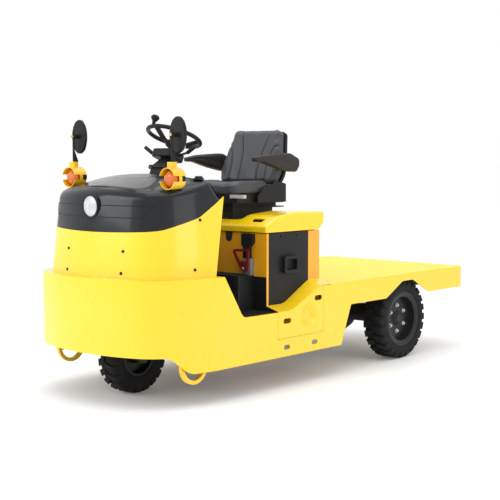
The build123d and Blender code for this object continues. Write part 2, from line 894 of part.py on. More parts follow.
# Seat back: its plane lies in the back's front face, with the normal to the front
back_y = -172
back_z = 1048
back_recline = 18.5
back_pad = 62
back_shell_depth = 28
back_depth = back_pad + back_shell_depth
back_plane = Plane(
    origin=(0, back_y, back_z),
    x_dir=(1, 0, 0),
    z_dir=(0, -cos(radians(back_recline)), sin(radians(back_recline))),
)
back_half_outline = (
    # x, distance up the back, radius
    (200, 0, 40),
    (224, 80, 90),
    (220, 140, 160),
    (172, 336, 38),
)
back_outline = back_half_outline + tuple((-x, up, radius) for x, up, radius in reversed(back_half_outline))


def back_section_plane(at_x):
    """Plane across the seat back at one X, with its x to the rear and its y up the back."""
    return Plane(
        origin=(at_x, back_y, back_z),
        x_dir=(0, cos(radians(back_recline)), -sin(radians(back_recline))),
        z_dir=(1, 0, 0),
    )


# Seat pan, with a bracket plate at each side and two straps that carry the back
pan_half = 205
pan_front_y = -455
pan_rear_y = -92
pan_top_z = 1000
pan_wall = 3
bracket_inner_x = 229
bracket_outer_x = 235
bracket_front_y = -322
bracket_rear_y = -86
strap_x = 150
strap_width = 34
strap_thick = 10
strap_top = 200
strap_foot = -58

with BuildPart() as seat_pan:
    with BuildSketch(Plane.XY.offset(base_high_z)):
        with Locations((0, (pan_front_y + pan_rear_y) / 2)):
            RectangleRounded(2 * pan_half, pan_rear_y - pan_front_y, 20)
    extrude(amount=pan_top_z - base_high_z)
    with BuildSketch(Plane.XY.offset(base_high_z + pan_wall)):
        with Locations((0, (pan_front_y + pan_rear_y) / 2)):
            RectangleRounded(2 * pan_half - 2 * pan_wall, pan_rear_y - pan_front_y - 2 * pan_wall, 18)
    extrude(amount=pan_top_z, mode=Mode.SUBTRACT)
    with BuildSketch(Plane.XY.offset(base_high_z)):
        with Locations((0, (bracket_front_y + bracket_rear_y) / 2)):
            Rectangle(2 * bracket_outer_x, bracket_rear_y - bracket_front_y)
    extrude(amount=pan_wall)
    for near_x in (-bracket_outer_x, bracket_inner_x):
        with BuildSketch(Plane.YZ.offset(near_x)):
            with BuildLine():
                FilletPolyline(
                    (bracket_front_y, base_high_z),
                    (bracket_front_y, base_high_z + 36),
                    (bracket_front_y + 60, base_high_z + 84),
                    (bracket_rear_y - 60, base_high_z + 112),
                    (bracket_rear_y, base_high_z + 100),
                    (bracket_rear_y, base_high_z),
                    radius=[0, 14, 20, 14, 14, 0],
                    close=True,
                )
            make_face()
        extrude(amount=bracket_outer_x - bracket_inner_x)
    for side in (-1, 1):
        with BuildSketch(back_section_plane(side * strap_x - strap_width / 2)):
            with Locations((back_depth + strap_thick / 2, (strap_top + strap_foot) / 2)):
                Rectangle(strap_thick, strap_top - strap_foot)
        extrude(amount=strap_width)

with BuildPart() as seat_frame:
    add(seat_base.part)
    add(seat_pan.part)
finish(seat_frame, "seat_frame")

cushion_half = 224
cushion_front_y = -502
cushion_rear_y = back_y - 6
cushion_top_z = 1068

with BuildPart() as seat_cushion:
    with BuildSketch(Plane.XY.offset(pan_top_z)):
        with Locations((0, (cushion_front_y + cushion_rear_y) / 2)):
            RectangleRounded(2 * cushion_half, cushion_rear_y - cushion_front_y, 60)
    extrude(amount=cushion_top_z - pan_top_z)
    fillet(seat_cushion.edges().group_by(Axis.Z)[-1], 26)
    fillet(seat_cushion.edges().group_by(Axis.Z)[0], 10)
finish(seat_cushion, "seat_cushion")

with BuildPart() as seat_back:
    extrude(rounded_face(back_plane, back_outline), amount=-back_pad)
    fillet(seat_back.faces().sort_by(Axis((0, 0, 0), back_plane.z_dir))[-1].edges(), 24)
finish(seat_back, "seat_back")

# Back shell: the moulding behind the pad, with a boss and a pin for each armrest
shell_inset = 6
pivot_back = back_pad + back_shell_depth / 2
pivot_up = 141
pivot_boss = 12
pivot_pin = 7
armrest_inner_x = 232
armrest_width = 46
pivot_reach = 32

with BuildPart() as seat_back_shell:
    shell_plane = back_plane.offset(-back_pad)
    shell_face = offset(rounded_face(shell_plane, back_outline), amount=-shell_inset, mode=Mode.PRIVATE)
    extrude(shell_face, amount=-back_shell_depth)
    chamfer(seat_back_shell.faces().sort_by(Axis((0, 0, 0), back_plane.z_dir))[0].edges(), 10)
    for side in (-1, 1):
        for radius, inner_x, outer_x in (
            (pivot_boss, armrest_inner_x - 44, armrest_inner_x - 1),
            (pivot_pin, armrest_inner_x - 2, armrest_inner_x + pivot_reach),
        ):
            with BuildSketch(back_section_plane(min(side * inner_x, side * outer_x))):
                with Locations((pivot_back, pivot_up)):
                    Circle(radius)
            extrude(amount=outer_x - inner_x)
finish(seat_back_shell, "seat_back_shell")

pivot_point = back_section_plane(0).from_local_coords(Vector(pivot_back, pivot_up, 0))
armrest_profile = (
    # y, z, radius, from the front tip along the top
    (-381, 1197, 4),
    (-312, 1210, 40),
    (-90, 1222, 60),
    (-14, 1190, 28),
    (-16, 1150, 20),
    (-40, 1116, 16),
    (-90, 1118, 30),
    (-204, 1140, 60),
    (-330, 1172, 30),
    (-376, 1173, 4),
)


def armrest(side):
    inner_x = side * armrest_inner_x
    near_x = min(inner_x, inner_x + side * armrest_width)
    bore_x = min(inner_x, inner_x + side * (pivot_reach + 2))
    with BuildPart() as rest:
        extrude(side_face(armrest_profile, near_x), amount=armrest_width)
        fillet(rest.edges().filter_by(Axis.X, reverse=True), 7)
        with BuildSketch(Plane.YZ.offset(bore_x)):
            with Locations((pivot_point.Y, pivot_point.Z)):
                Circle(pivot_pin + seat_gap)
        extrude(amount=pivot_reach + 2, mode=Mode.SUBTRACT)
    return rest


armrest_left = armrest(1)
finish(armrest_left, "armrest_left")
armrest_right = armrest(-1)
finish(armrest_right, "armrest_right")

lever_z = 990
lever_start_x = 176
lever_end_x = 288
with BuildPart() as adjuster_lever:
    with BuildSketch(Plane.XY.offset(lever_z - 9)):
        with BuildLine():
            FilletPolyline(
                (lever_start_x, pan_front_y),
                (lever_start_x, pan_front_y - 32),
                (lever_end_x, pan_front_y - 40),
                (lever_end_x, pan_front_y - 14),
                (lever_start_x + 26, pan_front_y - 12),
                (lever_start_x + 20, pan_front_y),
                radius=[0, 10, 10, 10, 6, 0],
                close=True,
            )
        make_face()
    extrude(amount=18)
finish(adjuster_lever, "adjuster_lever")

# Steering column: a cover from the floor, a flared boot, and a head with the shaft to the steering wheel
boot_low = 196
boot_plate = 14
boot_width = 120
boot_depth = 104
neck_width = 62
neck_depth = 56
neck_drop = 132
head_width = 146
head_front = 62
head_rear = 52
head_high_drop = 88
shaft_radius = 14
hub_drop = 60

with BuildPart() as column_shroud:
    add(column_prism(shroud_width, shroud_depth, shroud_round, 850, boot_low))
    split(bisect_by=Plane.XY.offset(floor_z), keep=Keep.TOP)

with BuildPart() as column_boot:
    add(column_prism(shroud_width + 24, shroud_depth + 24, shroud_round + 6, boot_low, boot_low - boot_plate))
    with BuildSketch(column_plane.offset(boot_plate - boot_low)):
        RectangleRounded(boot_width, boot_depth, 20)
    with BuildSketch(column_plane.offset(-neck_drop)):
        RectangleRounded(neck_width, neck_depth, 14)
    loft(ruled=True)

with BuildPart() as column_head:
    with BuildSketch(column_plane.offset(-neck_drop)):
        with Locations((0, (head_rear - head_front) / 2)):
            RectangleRounded(head_width, head_front + head_rear, 24)
    extrude(amount=neck_drop - head_high_drop)
    fillet(column_head.edges().filter_by(lambda edge: edge.bounding_box().size.X > 20), 8)
    with BuildSketch(column_plane.offset(-head_high_drop)):
        Circle(shaft_radius)
    extrude(amount=head_high_drop - hub_drop - seat_gap)

# Stalks at both sides of the head, each a run and a paddle that rises from it
stalk_radius = 6
stalk_drop = 108
stalk_reach = 60
stalk_rise = 34
paddle_reach = 50
paddle_rise = 44

with BuildPart() as column_stalks:
    for side in (-1, 1):
        root = Vector(side * (head_width / 2 - 5), 0, -stalk_drop)
        knee = Vector(side * (head_width / 2 + stalk_reach), 0, -stalk_drop + stalk_rise / 2)
        tip = Vector(side * (head_width / 2 + stalk_reach + paddle_reach), -10, -stalk_drop + paddle_rise)
        for start, end, radius in ((root, knee, stalk_radius), (knee, tip, stalk_radius + 4)):
            near = column_plane.from_local_coords(start)
            far = column_plane.from_local_coords(end)
            with BuildSketch(Plane(origin=near, z_dir=far - near)):
                Circle(radius)
            extrude(amount=(far - near).length)

with BuildPart() as steering_column:
    for piece in (column_shroud, column_boot, column_head, column_stalks):
        add(piece.part)
finish(steering_column, "steering_column")

# Steering wheel: ring, three spokes down to the hub, and a spinner knob on the ring
ring_radius = 141
rim_radius = 11
hub_radius = 34
spoke_half = 13
spoke_turns = (-90, 30, 150)
knob_turn = -100


def radial_plane(turn):
    """Plane through the steering wheel's axis, with its x outward and its y up the column."""
    outward = column_plane.x_dir * cos(radians(turn)) + column_plane.y_dir * sin(radians(turn))
    return Plane(origin=column_plane.origin, x_dir=outward, z_dir=outward.cross(column_plane.z_dir))


column_axis = Axis(column_plane.origin, column_plane.z_dir)

with BuildPart() as steering_wheel:
    with BuildSketch(radial_plane(0)):
        with Locations((ring_radius, 0)):
            Circle(rim_radius)
    revolve(axis=column_axis)
    with BuildSketch(radial_plane(0)):
        with BuildLine():
            Polyline(
                (0, -hub_drop),
                (hub_radius - 8, -hub_drop),
                (hub_radius, -hub_drop + 12),
                (hub_radius, -hub_drop + 24),
                (hub_radius - 8, -hub_drop + 34),
                (0, -hub_drop + 36),
                close=True,
            )
        make_face()
    revolve(axis=column_axis)
    for turn in spoke_turns:
        with BuildSketch(radial_plane(turn)):
            with BuildLine():
                Polyline(
                    (hub_radius - 12, -hub_drop + 8),
                    (hub_radius + 30, -hub_drop + 14),
                    (ring_radius - 4, -7),
                    (ring_radius - 4, 7),
                    (hub_radius + 28, -hub_drop + 26),
                    (hub_radius - 12, -hub_drop + 20),
                    close=True,
                )
            make_face()
        extrude(amount=spoke_half, both=True)
    with BuildSketch(radial_plane(knob_turn)):
        with BuildLine():
            Polyline(
                (ring_radius, 6),
                (ring_radius + 8, 6),
                (ring_radius + 10, 26),
                (ring_radius + 22, 44),
                (ring_radius + 22, 52),
                (ring_radius + 14, 60),
                (ring_radius, 62),
                close=True,
            )
        make_face()
    knob_base = radial_plane(knob_turn).from_local_coords(Vector(ring_radius, 0, 0))
    revolve(axis=Axis(knob_base, column_plane.z_dir))
finish(steering_wheel, "steering_wheel")

# Footwell: a folded liner under the hood, open to the rear, and two pedals on its back
liner_front_y = floor_front_y + 110
liner_rear_y = notch_top_y + 30
liner_half = 262
liner_top_z = 940
liner_wall = 3
pedals = (
    # x, width, height of the pad's middle
    (-104, 52, 700),
    (-196, 64, 712),
)

with BuildPart() as footwell_liner:
    with BuildSketch(Plane.XY.offset(floor_z)):
        with Locations((0, (liner_front_y + liner_rear_y) / 2)):
            Rectangle(2 * liner_half, liner_rear_y - liner_front_y)
    extrude(amount=liner_top_z - floor_z)
    with BuildSketch(Plane.XY.offset(floor_z)):
        with Locations((0, (liner_front_y + liner_rear_y) / 2 + liner_wall)):
            Rectangle(2 * liner_half - 2 * liner_wall, liner_rear_y - liner_front_y)
    extrude(amount=liner_top_z - liner_wall - floor_z, mode=Mode.SUBTRACT)
    clearance = 2 * shroud_gap
    add(
        column_prism(shroud_width + clearance, shroud_depth + clearance, shroud_round + shroud_gap, 900, 0),
        mode=Mode.SUBTRACT,
    )
finish(footwell_liner, "footwell_liner")

with BuildPart() as pedal_set:
    for at_x, width, at_z in pedals:
        with BuildSketch(Plane.YZ.offset(at_x - 6)):
            with BuildLine():
                Polyline(
                    (liner_front_y + liner_wall, at_z + 120),
                    (liner_front_y + liner_wall, at_z + 150),
                    (liner_front_y + 70, at_z + 110),
                    (liner_front_y + 96, at_z),
                    (liner_front_y + 84, at_z),
                    (liner_front_y + 58, at_z + 98),
                    close=True,
                )
            make_face()
        extrude(amount=12)
        with BuildSketch(Plane.YZ.offset(at_x - width / 2)):
            with BuildLine():
                Polyline(
                    (liner_front_y + 84, at_z + 34),
                    (liner_front_y + 94, at_z + 36),
                    (liner_front_y + 112, at_z - 32),
                    (liner_front_y + 102, at_z - 36),
                    close=True,
                )
            make_face()
        extrude(amount=width)
finish(pedal_set, "pedal_set")

# Diaphragm over the steered wheel, with webs up to the floor, the steering gear and its bearing ring
diaphragm_plate = 12
diaphragm_rear_y = notch_top_y + 45
web_inner_x = 250
web_thick = 8
stem_radius_steer = 30
bearing_inner = 60
bearing_outer = 95
bearing_drop = 12
gear_radius = 88
gear_height = 96

with BuildPart() as front_diaphragm:
    extrude(nose_outline(shell_wall, diaphragm_rear_y, diaphragm_z), amount=diaphragm_plate)
    for side in (-1, 1):
        with BuildSketch(Plane.XY.offset(diaphragm_z)):
            web_y = (floor_front_y + diaphragm_rear_y) / 2 + 20
            with Locations((side * (web_inner_x + web_thick / 2), web_y)):
                Rectangle(web_thick, diaphragm_rear_y - floor_front_y - 60)
        extrude(amount=floor_under_z - diaphragm_z)
    with BuildSketch(Plane.XY.offset(diaphragm_z - bearing_drop)):
        with Locations((0, front_axle_y)):
            Circle(bearing_outer)
            Circle(bearing_inner, mode=Mode.SUBTRACT)
    extrude(amount=bearing_drop)
    with BuildSketch(Plane.XY.offset(diaphragm_z)):
        with Locations((0, front_axle_y)):
            Circle(stem_radius_steer + seat_gap)
    extrude(amount=diaphragm_plate, mode=Mode.SUBTRACT)

with BuildPart() as steering_gear:
    with BuildSketch(Plane.XY.offset(diaphragm_z + diaphragm_plate)):
        with Locations((0, front_axle_y)):
            Circle(gear_radius)
            Rectangle(240, 90)
    extrude(amount=gear_height)
    with BuildSketch(Plane.XY.offset(diaphragm_z + diaphragm_plate)):
        with Locations((0, front_axle_y)):
            Circle(stem_radius_steer + seat_gap)
    extrude(amount=44, mode=Mode.SUBTRACT)

with BuildPart() as steering_deck:
    add(front_diaphragm.part)
    add(steering_gear.part)
finish(steering_deck, "steering_deck")

# Steered front wheel in its fork
front_radius = 191.5
front_width = 113
front_bead = 104
front_hub = 38
axle_radius = 14
fork_inner_x = 66
fork_thick = 18
fork_boss = 36
crown_high_z = diaphragm_z - bearing_drop - seat_gap
crown_thick = 36
crown_radius = 92

with BuildPart() as steer_fork:
    with BuildSketch(Plane.XY.offset(crown_high_z)):
        with Locations((0, front_axle_y)):
            Circle(crown_radius)
    extrude(amount=-crown_thick)
    with BuildSketch(Plane.XY.offset(crown_high_z)):
        with Locations((0, front_axle_y)):
            Circle(stem_radius_steer)
    extrude(amount=bearing_drop + diaphragm_plate + 40)
    for near_x in (-fork_inner_x - fork_thick, fork_inner_x):
        with BuildSketch(Plane.YZ.offset(near_x)):
            with BuildLine():
                Polyline(
                    (front_axle_y - fork_boss, front_radius),
                    (front_axle_y + fork_boss, front_radius),
                    (front_axle_y + 60, crown_high_z - crown_thick),
                    (front_axle_y - 60, crown_high_z - crown_thick),
                    close=True,
                )
            make_face()
            with Locations((front_axle_y, front_radius)):
                Circle(fork_boss)
        extrude(amount=fork_thick)
    with BuildSketch(Plane.YZ.offset(-fork_inner_x - fork_thick)):
        with Locations((front_axle_y, front_radius)):
            Circle(axle_radius)
    extrude(amount=2 * fork_inner_x + 2 * fork_thick)
finish(steer_fork, "steer_fork")


def tyre(radius, width, bead, at_x, at_y):
    """Solid tyre round an axle along X, from bead to tread with round shoulders."""
    half = width / 2
    with BuildPart() as ring:
        with BuildSketch(Plane.XY.offset(radius)):
            with BuildLine():
                FilletPolyline(
                    (at_x - half + 8, at_y + bead),
                    (at_x - half, at_y + bead + 14),
                    (at_x - half, at_y + radius - 16),
                    (at_x - half + 20, at_y + radius),
                    (at_x + half - 20, at_y + radius),
                    (at_x + half, at_y + radius - 16),
                    (at_x + half, at_y + bead + 14),
                    (at_x + half - 8, at_y + bead),
                    radius=[0, 10, 12, 14, 14, 12, 10, 0],
                    close=True,
                )
            make_face()
        revolve(axis=Axis((at_x, at_y, radius), (1, 0, 0)))
    return ring


front_tyre = tyre(front_radius, front_width, front_bead, 0, front_axle_y)
finish(front_tyre, "front_tyre")

with BuildPart() as front_rim:
    with BuildSketch(Plane.XY.offset(front_radius)):
        with BuildLine():
            Polyline(
                (-front_width / 2 + 6, front_axle_y + front_bead - seat_gap),
                (front_width / 2 - 6, front_axle_y + front_bead - seat_gap),
                (front_width / 2 - 6, front_axle_y + front_bead - 12),
                (10, front_axle_y + front_bead - 18),
                (10, front_axle_y + front_hub + 4),
                (fork_inner_x - 5, front_axle_y + front_hub),
                (fork_inner_x - 5, front_axle_y + axle_radius + seat_gap),
                (5 - fork_inner_x, front_axle_y + axle_radius + seat_gap),
                (5 - fork_inner_x, front_axle_y + front_hub),
                (-10, front_axle_y + front_hub + 4),
                (-10, front_axle_y + front_bead - 18),
                (-front_width / 2 + 6, front_axle_y + front_bead - 12),
                close=True,
            )
        make_face()
    revolve(axis=Axis((0, front_axle_y, front_radius), (1, 0, 0)))
finish(front_rim, "front_rim")

# Rear axle: a tube with the differential in its middle, a spring seat and a drum at each side
rear_radius = 237.5
rear_width = 137
rear_bead = 163.5
rear_wheel_x = 430
axle_tube_radius = 42
differential_radius = 110
drum_radius = 105
drum_inner_x = 350
drum_outer_x = 392
stub_radius = 25
stub_end_x = 445
spring_x = 275
spring_width = 50
spring_low_z = 287
spring_seat_length = 80
rear_axis = Axis((0, rear_axle_y, rear_radius), (1, 0, 0))

with BuildPart() as rear_axle:
    with BuildSketch(Plane.XY.offset(rear_radius)):
        with BuildLine():
            Polyline(
                (0, rear_axle_y),
                (stub_end_x, rear_axle_y),
                (stub_end_x, rear_axle_y + stub_radius),
                (drum_outer_x, rear_axle_y + stub_radius),
                (drum_outer_x, rear_axle_y + drum_radius),
                (drum_inner_x, rear_axle_y + drum_radius),
                (drum_inner_x, rear_axle_y + axle_tube_radius),
                (differential_radius, rear_axle_y + axle_tube_radius),
                (0.8 * differential_radius, rear_axle_y + 0.75 * differential_radius),
                (0.45 * differential_radius, rear_axle_y + differential_radius),
                (0, rear_axle_y + differential_radius),
                close=True,
            )
        make_face()
    revolve(axis=rear_axis)
    with BuildSketch(Plane.XY.offset(rear_radius)):
        with Locations((spring_x, rear_axle_y)):
            Rectangle(spring_width, spring_seat_length)
    extrude(amount=spring_low_z - rear_radius)
    mirror(about=Plane.YZ)
finish(rear_axle, "rear_axle")

motor_radius = 105
motor_length = 290
motor_nose_radius = 46
motor_nose = 32
motor_end_y = rear_axle_y - differential_radius - seat_gap

with BuildPart() as drive_motor:
    with BuildSketch(Plane.YZ):
        with BuildLine():
            FilletPolyline(
                (motor_end_y - motor_nose - motor_length, rear_radius),
                (motor_end_y - motor_nose - motor_length, rear_radius + motor_radius),
                (motor_end_y - motor_nose, rear_radius + motor_radius),
                (motor_end_y - motor_nose, rear_radius + motor_nose_radius),
                (motor_end_y, rear_radius + motor_nose_radius),
                (motor_end_y, rear_radius),
                radius=[0, 12, 12, 0, 0, 0],
                close=True,
            )
        make_face()
    revolve(axis=Axis((0, motor_end_y, rear_radius), (0, 1, 0)))
finish(drive_motor, "drive_motor")

# Leaf springs: four cambered leaves in each stack, with an eye at both ends of the longest
leaf_thick = 8
leaf_half_lengths = (350, 280, 210, 140)
spring_camber = 36
eye_radius = 17
eye_bore = 9
leaf_stack = leaf_thick * len(leaf_half_lengths)
camber_radius = (leaf_half_lengths[0] ** 2 + spring_camber**2) / (2 * spring_camber)
camber_centre_z = spring_low_z + leaf_stack + camber_radius


def leaf_point(at_y, level):
    """Point on a leaf's face, a number of leaf thicknesses below the top of the stack."""
    depth = camber_radius + level * leaf_thick
    return rear_axle_y + at_y, camber_centre_z - sqrt(depth**2 - at_y**2)


eye_foot_z = leaf_point(leaf_half_lengths[0], 0)[1]
eye_z = eye_foot_z + eye_radius - leaf_thick

with BuildPart() as leaf_springs:
    with BuildSketch(Plane.YZ.offset(spring_x - spring_width / 2)):
        for level, half_length in enumerate(leaf_half_lengths):
            with BuildLine():
                low = ThreePointArc(
                    leaf_point(-half_length, level + 1),
                    leaf_point(0, level + 1),
                    leaf_point(half_length, level + 1),
                )
                high = ThreePointArc(
                    leaf_point(half_length, level), leaf_point(0, level), leaf_point(-half_length, level)
                )
                Line(low @ 1, high @ 0)
                Line(high @ 1, low @ 0)
            make_face()
        for end in (-1, 1):
            with Locations((rear_axle_y + end * leaf_half_lengths[0], eye_z)):
                Circle(eye_radius)
                Circle(eye_bore, mode=Mode.SUBTRACT)
    extrude(amount=spring_width)
    mirror(about=Plane.YZ)
finish(leaf_springs, "leaf_springs")

# Spring hangers: two cheeks and a pin under the rail at each spring eye
rail_low_z = deck_edge_z + 6
hanger_cheek = 6
hanger_half = 26

with BuildPart() as spring_hangers:
    for end in (-1, 1):
        at_y = rear_axle_y + end * leaf_half_lengths[0]
        for near_x in (
            spring_x - spring_width / 2 - seat_gap - hanger_cheek,
            spring_x + spring_width / 2 + seat_gap,
        ):
            with BuildSketch(Plane.YZ.offset(near_x)):
                with BuildLine():
                    Polyline(
                        (at_y - hanger_half, rail_low_z),
                        (at_y + hanger_half, rail_low_z),
                        (at_y + eye_bore + 6, eye_z - eye_bore),
                        (at_y - eye_bore - 6, eye_z - eye_bore),
                        close=True,
                    )
                make_face()
            extrude(amount=hanger_cheek)
        with BuildSketch(Plane.YZ.offset(spring_x - spring_width / 2 - hanger_cheek)):
            with Locations((at_y, eye_z)):
                Circle(eye_bore - seat_gap)
        extrude(amount=spring_width + 2 * hanger_cheek)
    mirror(about=Plane.YZ)
finish(spring_hangers, "spring_hangers")

# Rear wheels: tyres on dished rims, each rim turning on the axle's stub
rim_half = 62
rim_disc_x = 17
rim_nose_x = 35
rim_hub_radius = 38

rear_tyre_left = tyre(rear_radius, rear_width, rear_bead, rear_wheel_x, rear_axle_y)
finish(rear_tyre_left, "rear_tyre_left")
rear_tyre_right = tyre(rear_radius, rear_width, rear_bead, -rear_wheel_x, rear_axle_y)
finish(rear_tyre_right, "rear_tyre_right")

rim_section = (
    # distance outward from the wheel's middle, radius
    (-rim_half, rear_bead - seat_gap),
    (rim_half, rear_bead - seat_gap),
    (rim_half, rear_bead - 12),
    (rim_half - 7, rear_bead - 32),
    (rim_disc_x, rear_bead - 36),
    (rim_disc_x, rim_hub_radius + 6),
    (rim_disc_x + 8, rim_hub_radius),
    (rim_nose_x - 8, rim_hub_radius - 6),
    (rim_nose_x, rim_hub_radius - 14),
    (rim_nose_x, 0),
    (stub_end_x + seat_gap - rear_wheel_x, 0),
    (stub_end_x + seat_gap - rear_wheel_x, stub_radius + seat_gap),
    (drum_outer_x + 6 - rear_wheel_x, stub_radius + seat_gap),
    (drum_outer_x + 6 - rear_wheel_x, rim_hub_radius + 14),
    (rim_disc_x - 8, rim_hub_radius + 18),
    (rim_disc_x - 8, rear_bead - 28),
    (rim_half - 18, rear_bead - 22),
    (rim_half - 12, rear_bead - 8),
    (-rim_half, rear_bead - 8),
)


def rear_rim(side):
    with BuildPart() as rim:
        with BuildSketch(Plane.XY.offset(rear_radius)):
            with BuildLine():
                Polyline(
                    [(side * (rear_wheel_x + out), rear_axle_y + radius) for out, radius in rim_section],
                    close=True,
                )
            make_face()
        revolve(axis=rear_axis)
    return rim


rear_rim_left = rear_rim(1)
finish(rear_rim_left, "rear_rim_left")
rear_rim_right = rear_rim(-1)
finish(rear_rim_right, "rear_rim_right")

# Chassis: two channel rails that rise behind the battery, with cross members between and outside them
rail_inner_x = 250
rail_outer_x = 300
rail_web = 5
rail_flange = 6
rail_front_y = notch_top_y + 145
rail_rise_y = housing_rear_y + 90
rail_height = housing_floor_z - rail_front_z
rail_profile = (
    # y, z, radius
    (rail_front_y, rail_front_z, 0),
    (rail_rise_y, rail_front_z, 30),
    (rail_rise_y + 175, rail_low_z, 30),
    (deck_rear_y - shell_wall, rail_low_z, 0),
    (deck_rear_y - shell_wall, deck_under_z, 0),
    (rail_rise_y + 60, deck_under_z, 30),
    (rail_rise_y - 50, housing_floor_z, 30),
    (rail_front_y, housing_floor_z, 0),
)

with BuildPart() as frame_rails:
    rail_face = side_face(rail_profile, rail_inner_x)
    extrude(rail_face, amount=rail_outer_x - rail_inner_x)
    pocket = offset(rail_face, amount=-rail_flange, kind=Kind.INTERSECTION, mode=Mode.PRIVATE)
    extrude(pocket, amount=rail_outer_x - rail_inner_x - rail_web, dir=(1, 0, 0), mode=Mode.SUBTRACT)
    mirror(about=Plane.YZ)
finish(frame_rails, "frame_rails")

front_beam_length = 50
beam_width = 50
low_beam_z = rail_front_z + 20
high_beam_z = rail_low_z + 41
beams = (
    # y of the middle, bottom, top
    (housing_front_y + 120, low_beam_z, housing_floor_z - rail_flange),
    (housing_rear_y - 60, low_beam_z, housing_floor_z - rail_flange),
    (rail_rise_y + 210, high_beam_z, deck_under_z - rail_flange),
    (rear_axle_y - 130, high_beam_z, deck_under_z - rail_flange),
    (rear_axle_y + 130, high_beam_z, deck_under_z - rail_flange),
    (deck_rear_y - 100, high_beam_z, deck_under_z - rail_flange),
)
outrigger_ys = (rail_rise_y + 105, deck_rear_y - 100)

with BuildPart() as cross_members:
    with BuildSketch(Plane.XY.offset(rail_front_z)):
        with Locations((0, rail_front_y - front_beam_length / 2)):
            Rectangle(2 * shell_inside, front_beam_length)
    extrude(amount=rail_height)
    for at_y, low_z, high_z in beams:
        with BuildSketch(Plane.XY.offset(low_z)):
            with Locations((0, at_y)):
                Rectangle(2 * (rail_outer_x - rail_web), beam_width)
        extrude(amount=high_z - low_z)
    for at_y in outrigger_ys:
        for side in (-1, 1):
            with BuildSketch(Plane.XY.offset(high_beam_z)):
                with Locations((side * (rail_outer_x + shell_inside) / 2, at_y)):
                    Rectangle(shell_inside - rail_outer_x, beam_width)
            extrude(amount=deck_under_z - high_beam_z)
finish(cross_members, "cross_members")

with BuildPart() as deck_floor:
    with BuildSketch(Plane.XY.offset(deck_under_z)):
        with Locations((0, (housing_rear_y + deck_rear_y) / 2)):
            Rectangle(body_width, deck_rear_y - housing_rear_y)
    extrude(amount=deck_plate)
    with BuildSketch(Plane.XY.offset(deck_edge_z)):
        with Locations((0, deck_rear_y - shell_wall / 2)):
            Rectangle(2 * shell_inside, shell_wall)
    extrude(amount=deck_under_z - deck_edge_z)
finish(deck_floor, "deck_floor")

# Tow coupling: a drawbar box under the deck, a plate, two jaws and a lift-out pin
coupling_half = 60
coupling_front_y = deck_rear_y - 150
coupling_low_z = 300
plate_half = 90
plate_thick = 12
plate_low_z = 280
plate_high_z = 480
jaw_half = 45
jaw_thick = 15
jaw_low_z = 315
jaw_high_z = 385
pin_radius = 12.5
pin_y = deck_rear_y + 45
pin_low_z = 300
pin_high_z = 440

with BuildPart() as tow_coupling:
    with BuildSketch(Plane.YZ.offset(-coupling_half)):
        with BuildLine():
            Polyline(
                (coupling_front_y, high_beam_z),
                (deck_rear_y - shell_wall, high_beam_z),
                (deck_rear_y - shell_wall, deck_edge_z),
                (deck_rear_y, deck_edge_z),
                (deck_rear_y, coupling_low_z),
                (coupling_front_y + 60, coupling_low_z),
                (coupling_front_y, coupling_low_z + 60),
                close=True,
            )
        make_face()
    extrude(amount=2 * coupling_half)
    with BuildSketch(Plane.XZ.offset(-deck_rear_y)):
        with Locations((0, (plate_low_z + plate_high_z) / 2)):
            RectangleRounded(2 * plate_half, plate_high_z - plate_low_z, 10)
    extrude(amount=-plate_thick)
    for low_z in (jaw_low_z, jaw_high_z):
        with BuildSketch(Plane.XY.offset(low_z)):
            with BuildLine():
                FilletPolyline(
                    (-jaw_half, deck_rear_y + plate_thick),
                    (jaw_half, deck_rear_y + plate_thick),
                    (jaw_half - 6, hitch_rear_y),
                    (6 - jaw_half, hitch_rear_y),
                    radius=[0, 0, 24, 24],
                    close=True,
                )
            make_face()
            with Locations((0, pin_y)):
                Circle(pin_radius + seat_gap, mode=Mode.SUBTRACT)
        extrude(amount=jaw_thick)
finish(tow_coupling, "tow_coupling")

with BuildPart() as coupling_pin:
    with BuildSketch(Plane.YZ):
        with BuildLine():
            Polyline(
                (pin_y, pin_low_z),
                (pin_y + pin_radius - 4, pin_low_z),
                (pin_y + pin_radius, pin_low_z + 6),
                (pin_y + pin_radius, jaw_high_z + jaw_thick + seat_gap),
                (pin_y + pin_radius + 8, jaw_high_z + jaw_thick + seat_gap),
                (pin_y + pin_radius + 8, jaw_high_z + jaw_thick + 8),
                (pin_y + pin_radius, jaw_high_z + jaw_thick + 8),
                (pin_y + pin_radius, pin_high_z - 22),
                (pin_y + pin_radius + 9, pin_high_z - 16),
                (pin_y + pin_radius + 9, pin_high_z - 6),
                (pin_y + pin_radius + 2, pin_high_z),
                (pin_y, pin_high_z),
                close=True,
            )
        make_face()
    revolve(axis=Axis((0, pin_y, pin_low_z), (0, 0, 1)))
finish(coupling_pin, "coupling_pin")

tail_lamp_x = 425
tail_lamp_width = 92
tail_lamp_height = 62
tail_lamp_z = 448
with BuildPart() as tail_lamps:
    for side in (-1, 1):
        with BuildSketch(Plane.XZ.offset(-deck_rear_y)):
            with Locations((side * tail_lamp_x, tail_lamp_z)):
                RectangleRounded(tail_lamp_width, tail_lamp_height, 10)
        extrude(amount=-24)
finish(tail_lamps, "tail_lamps")

# Tow loops: a bent bar under each front corner, welded to the diaphragm
loop_x = 462
loop_y = front_axle_y - 25
loop_bar = 20
loop_mid_radius = 80
loop_centre_z = 195

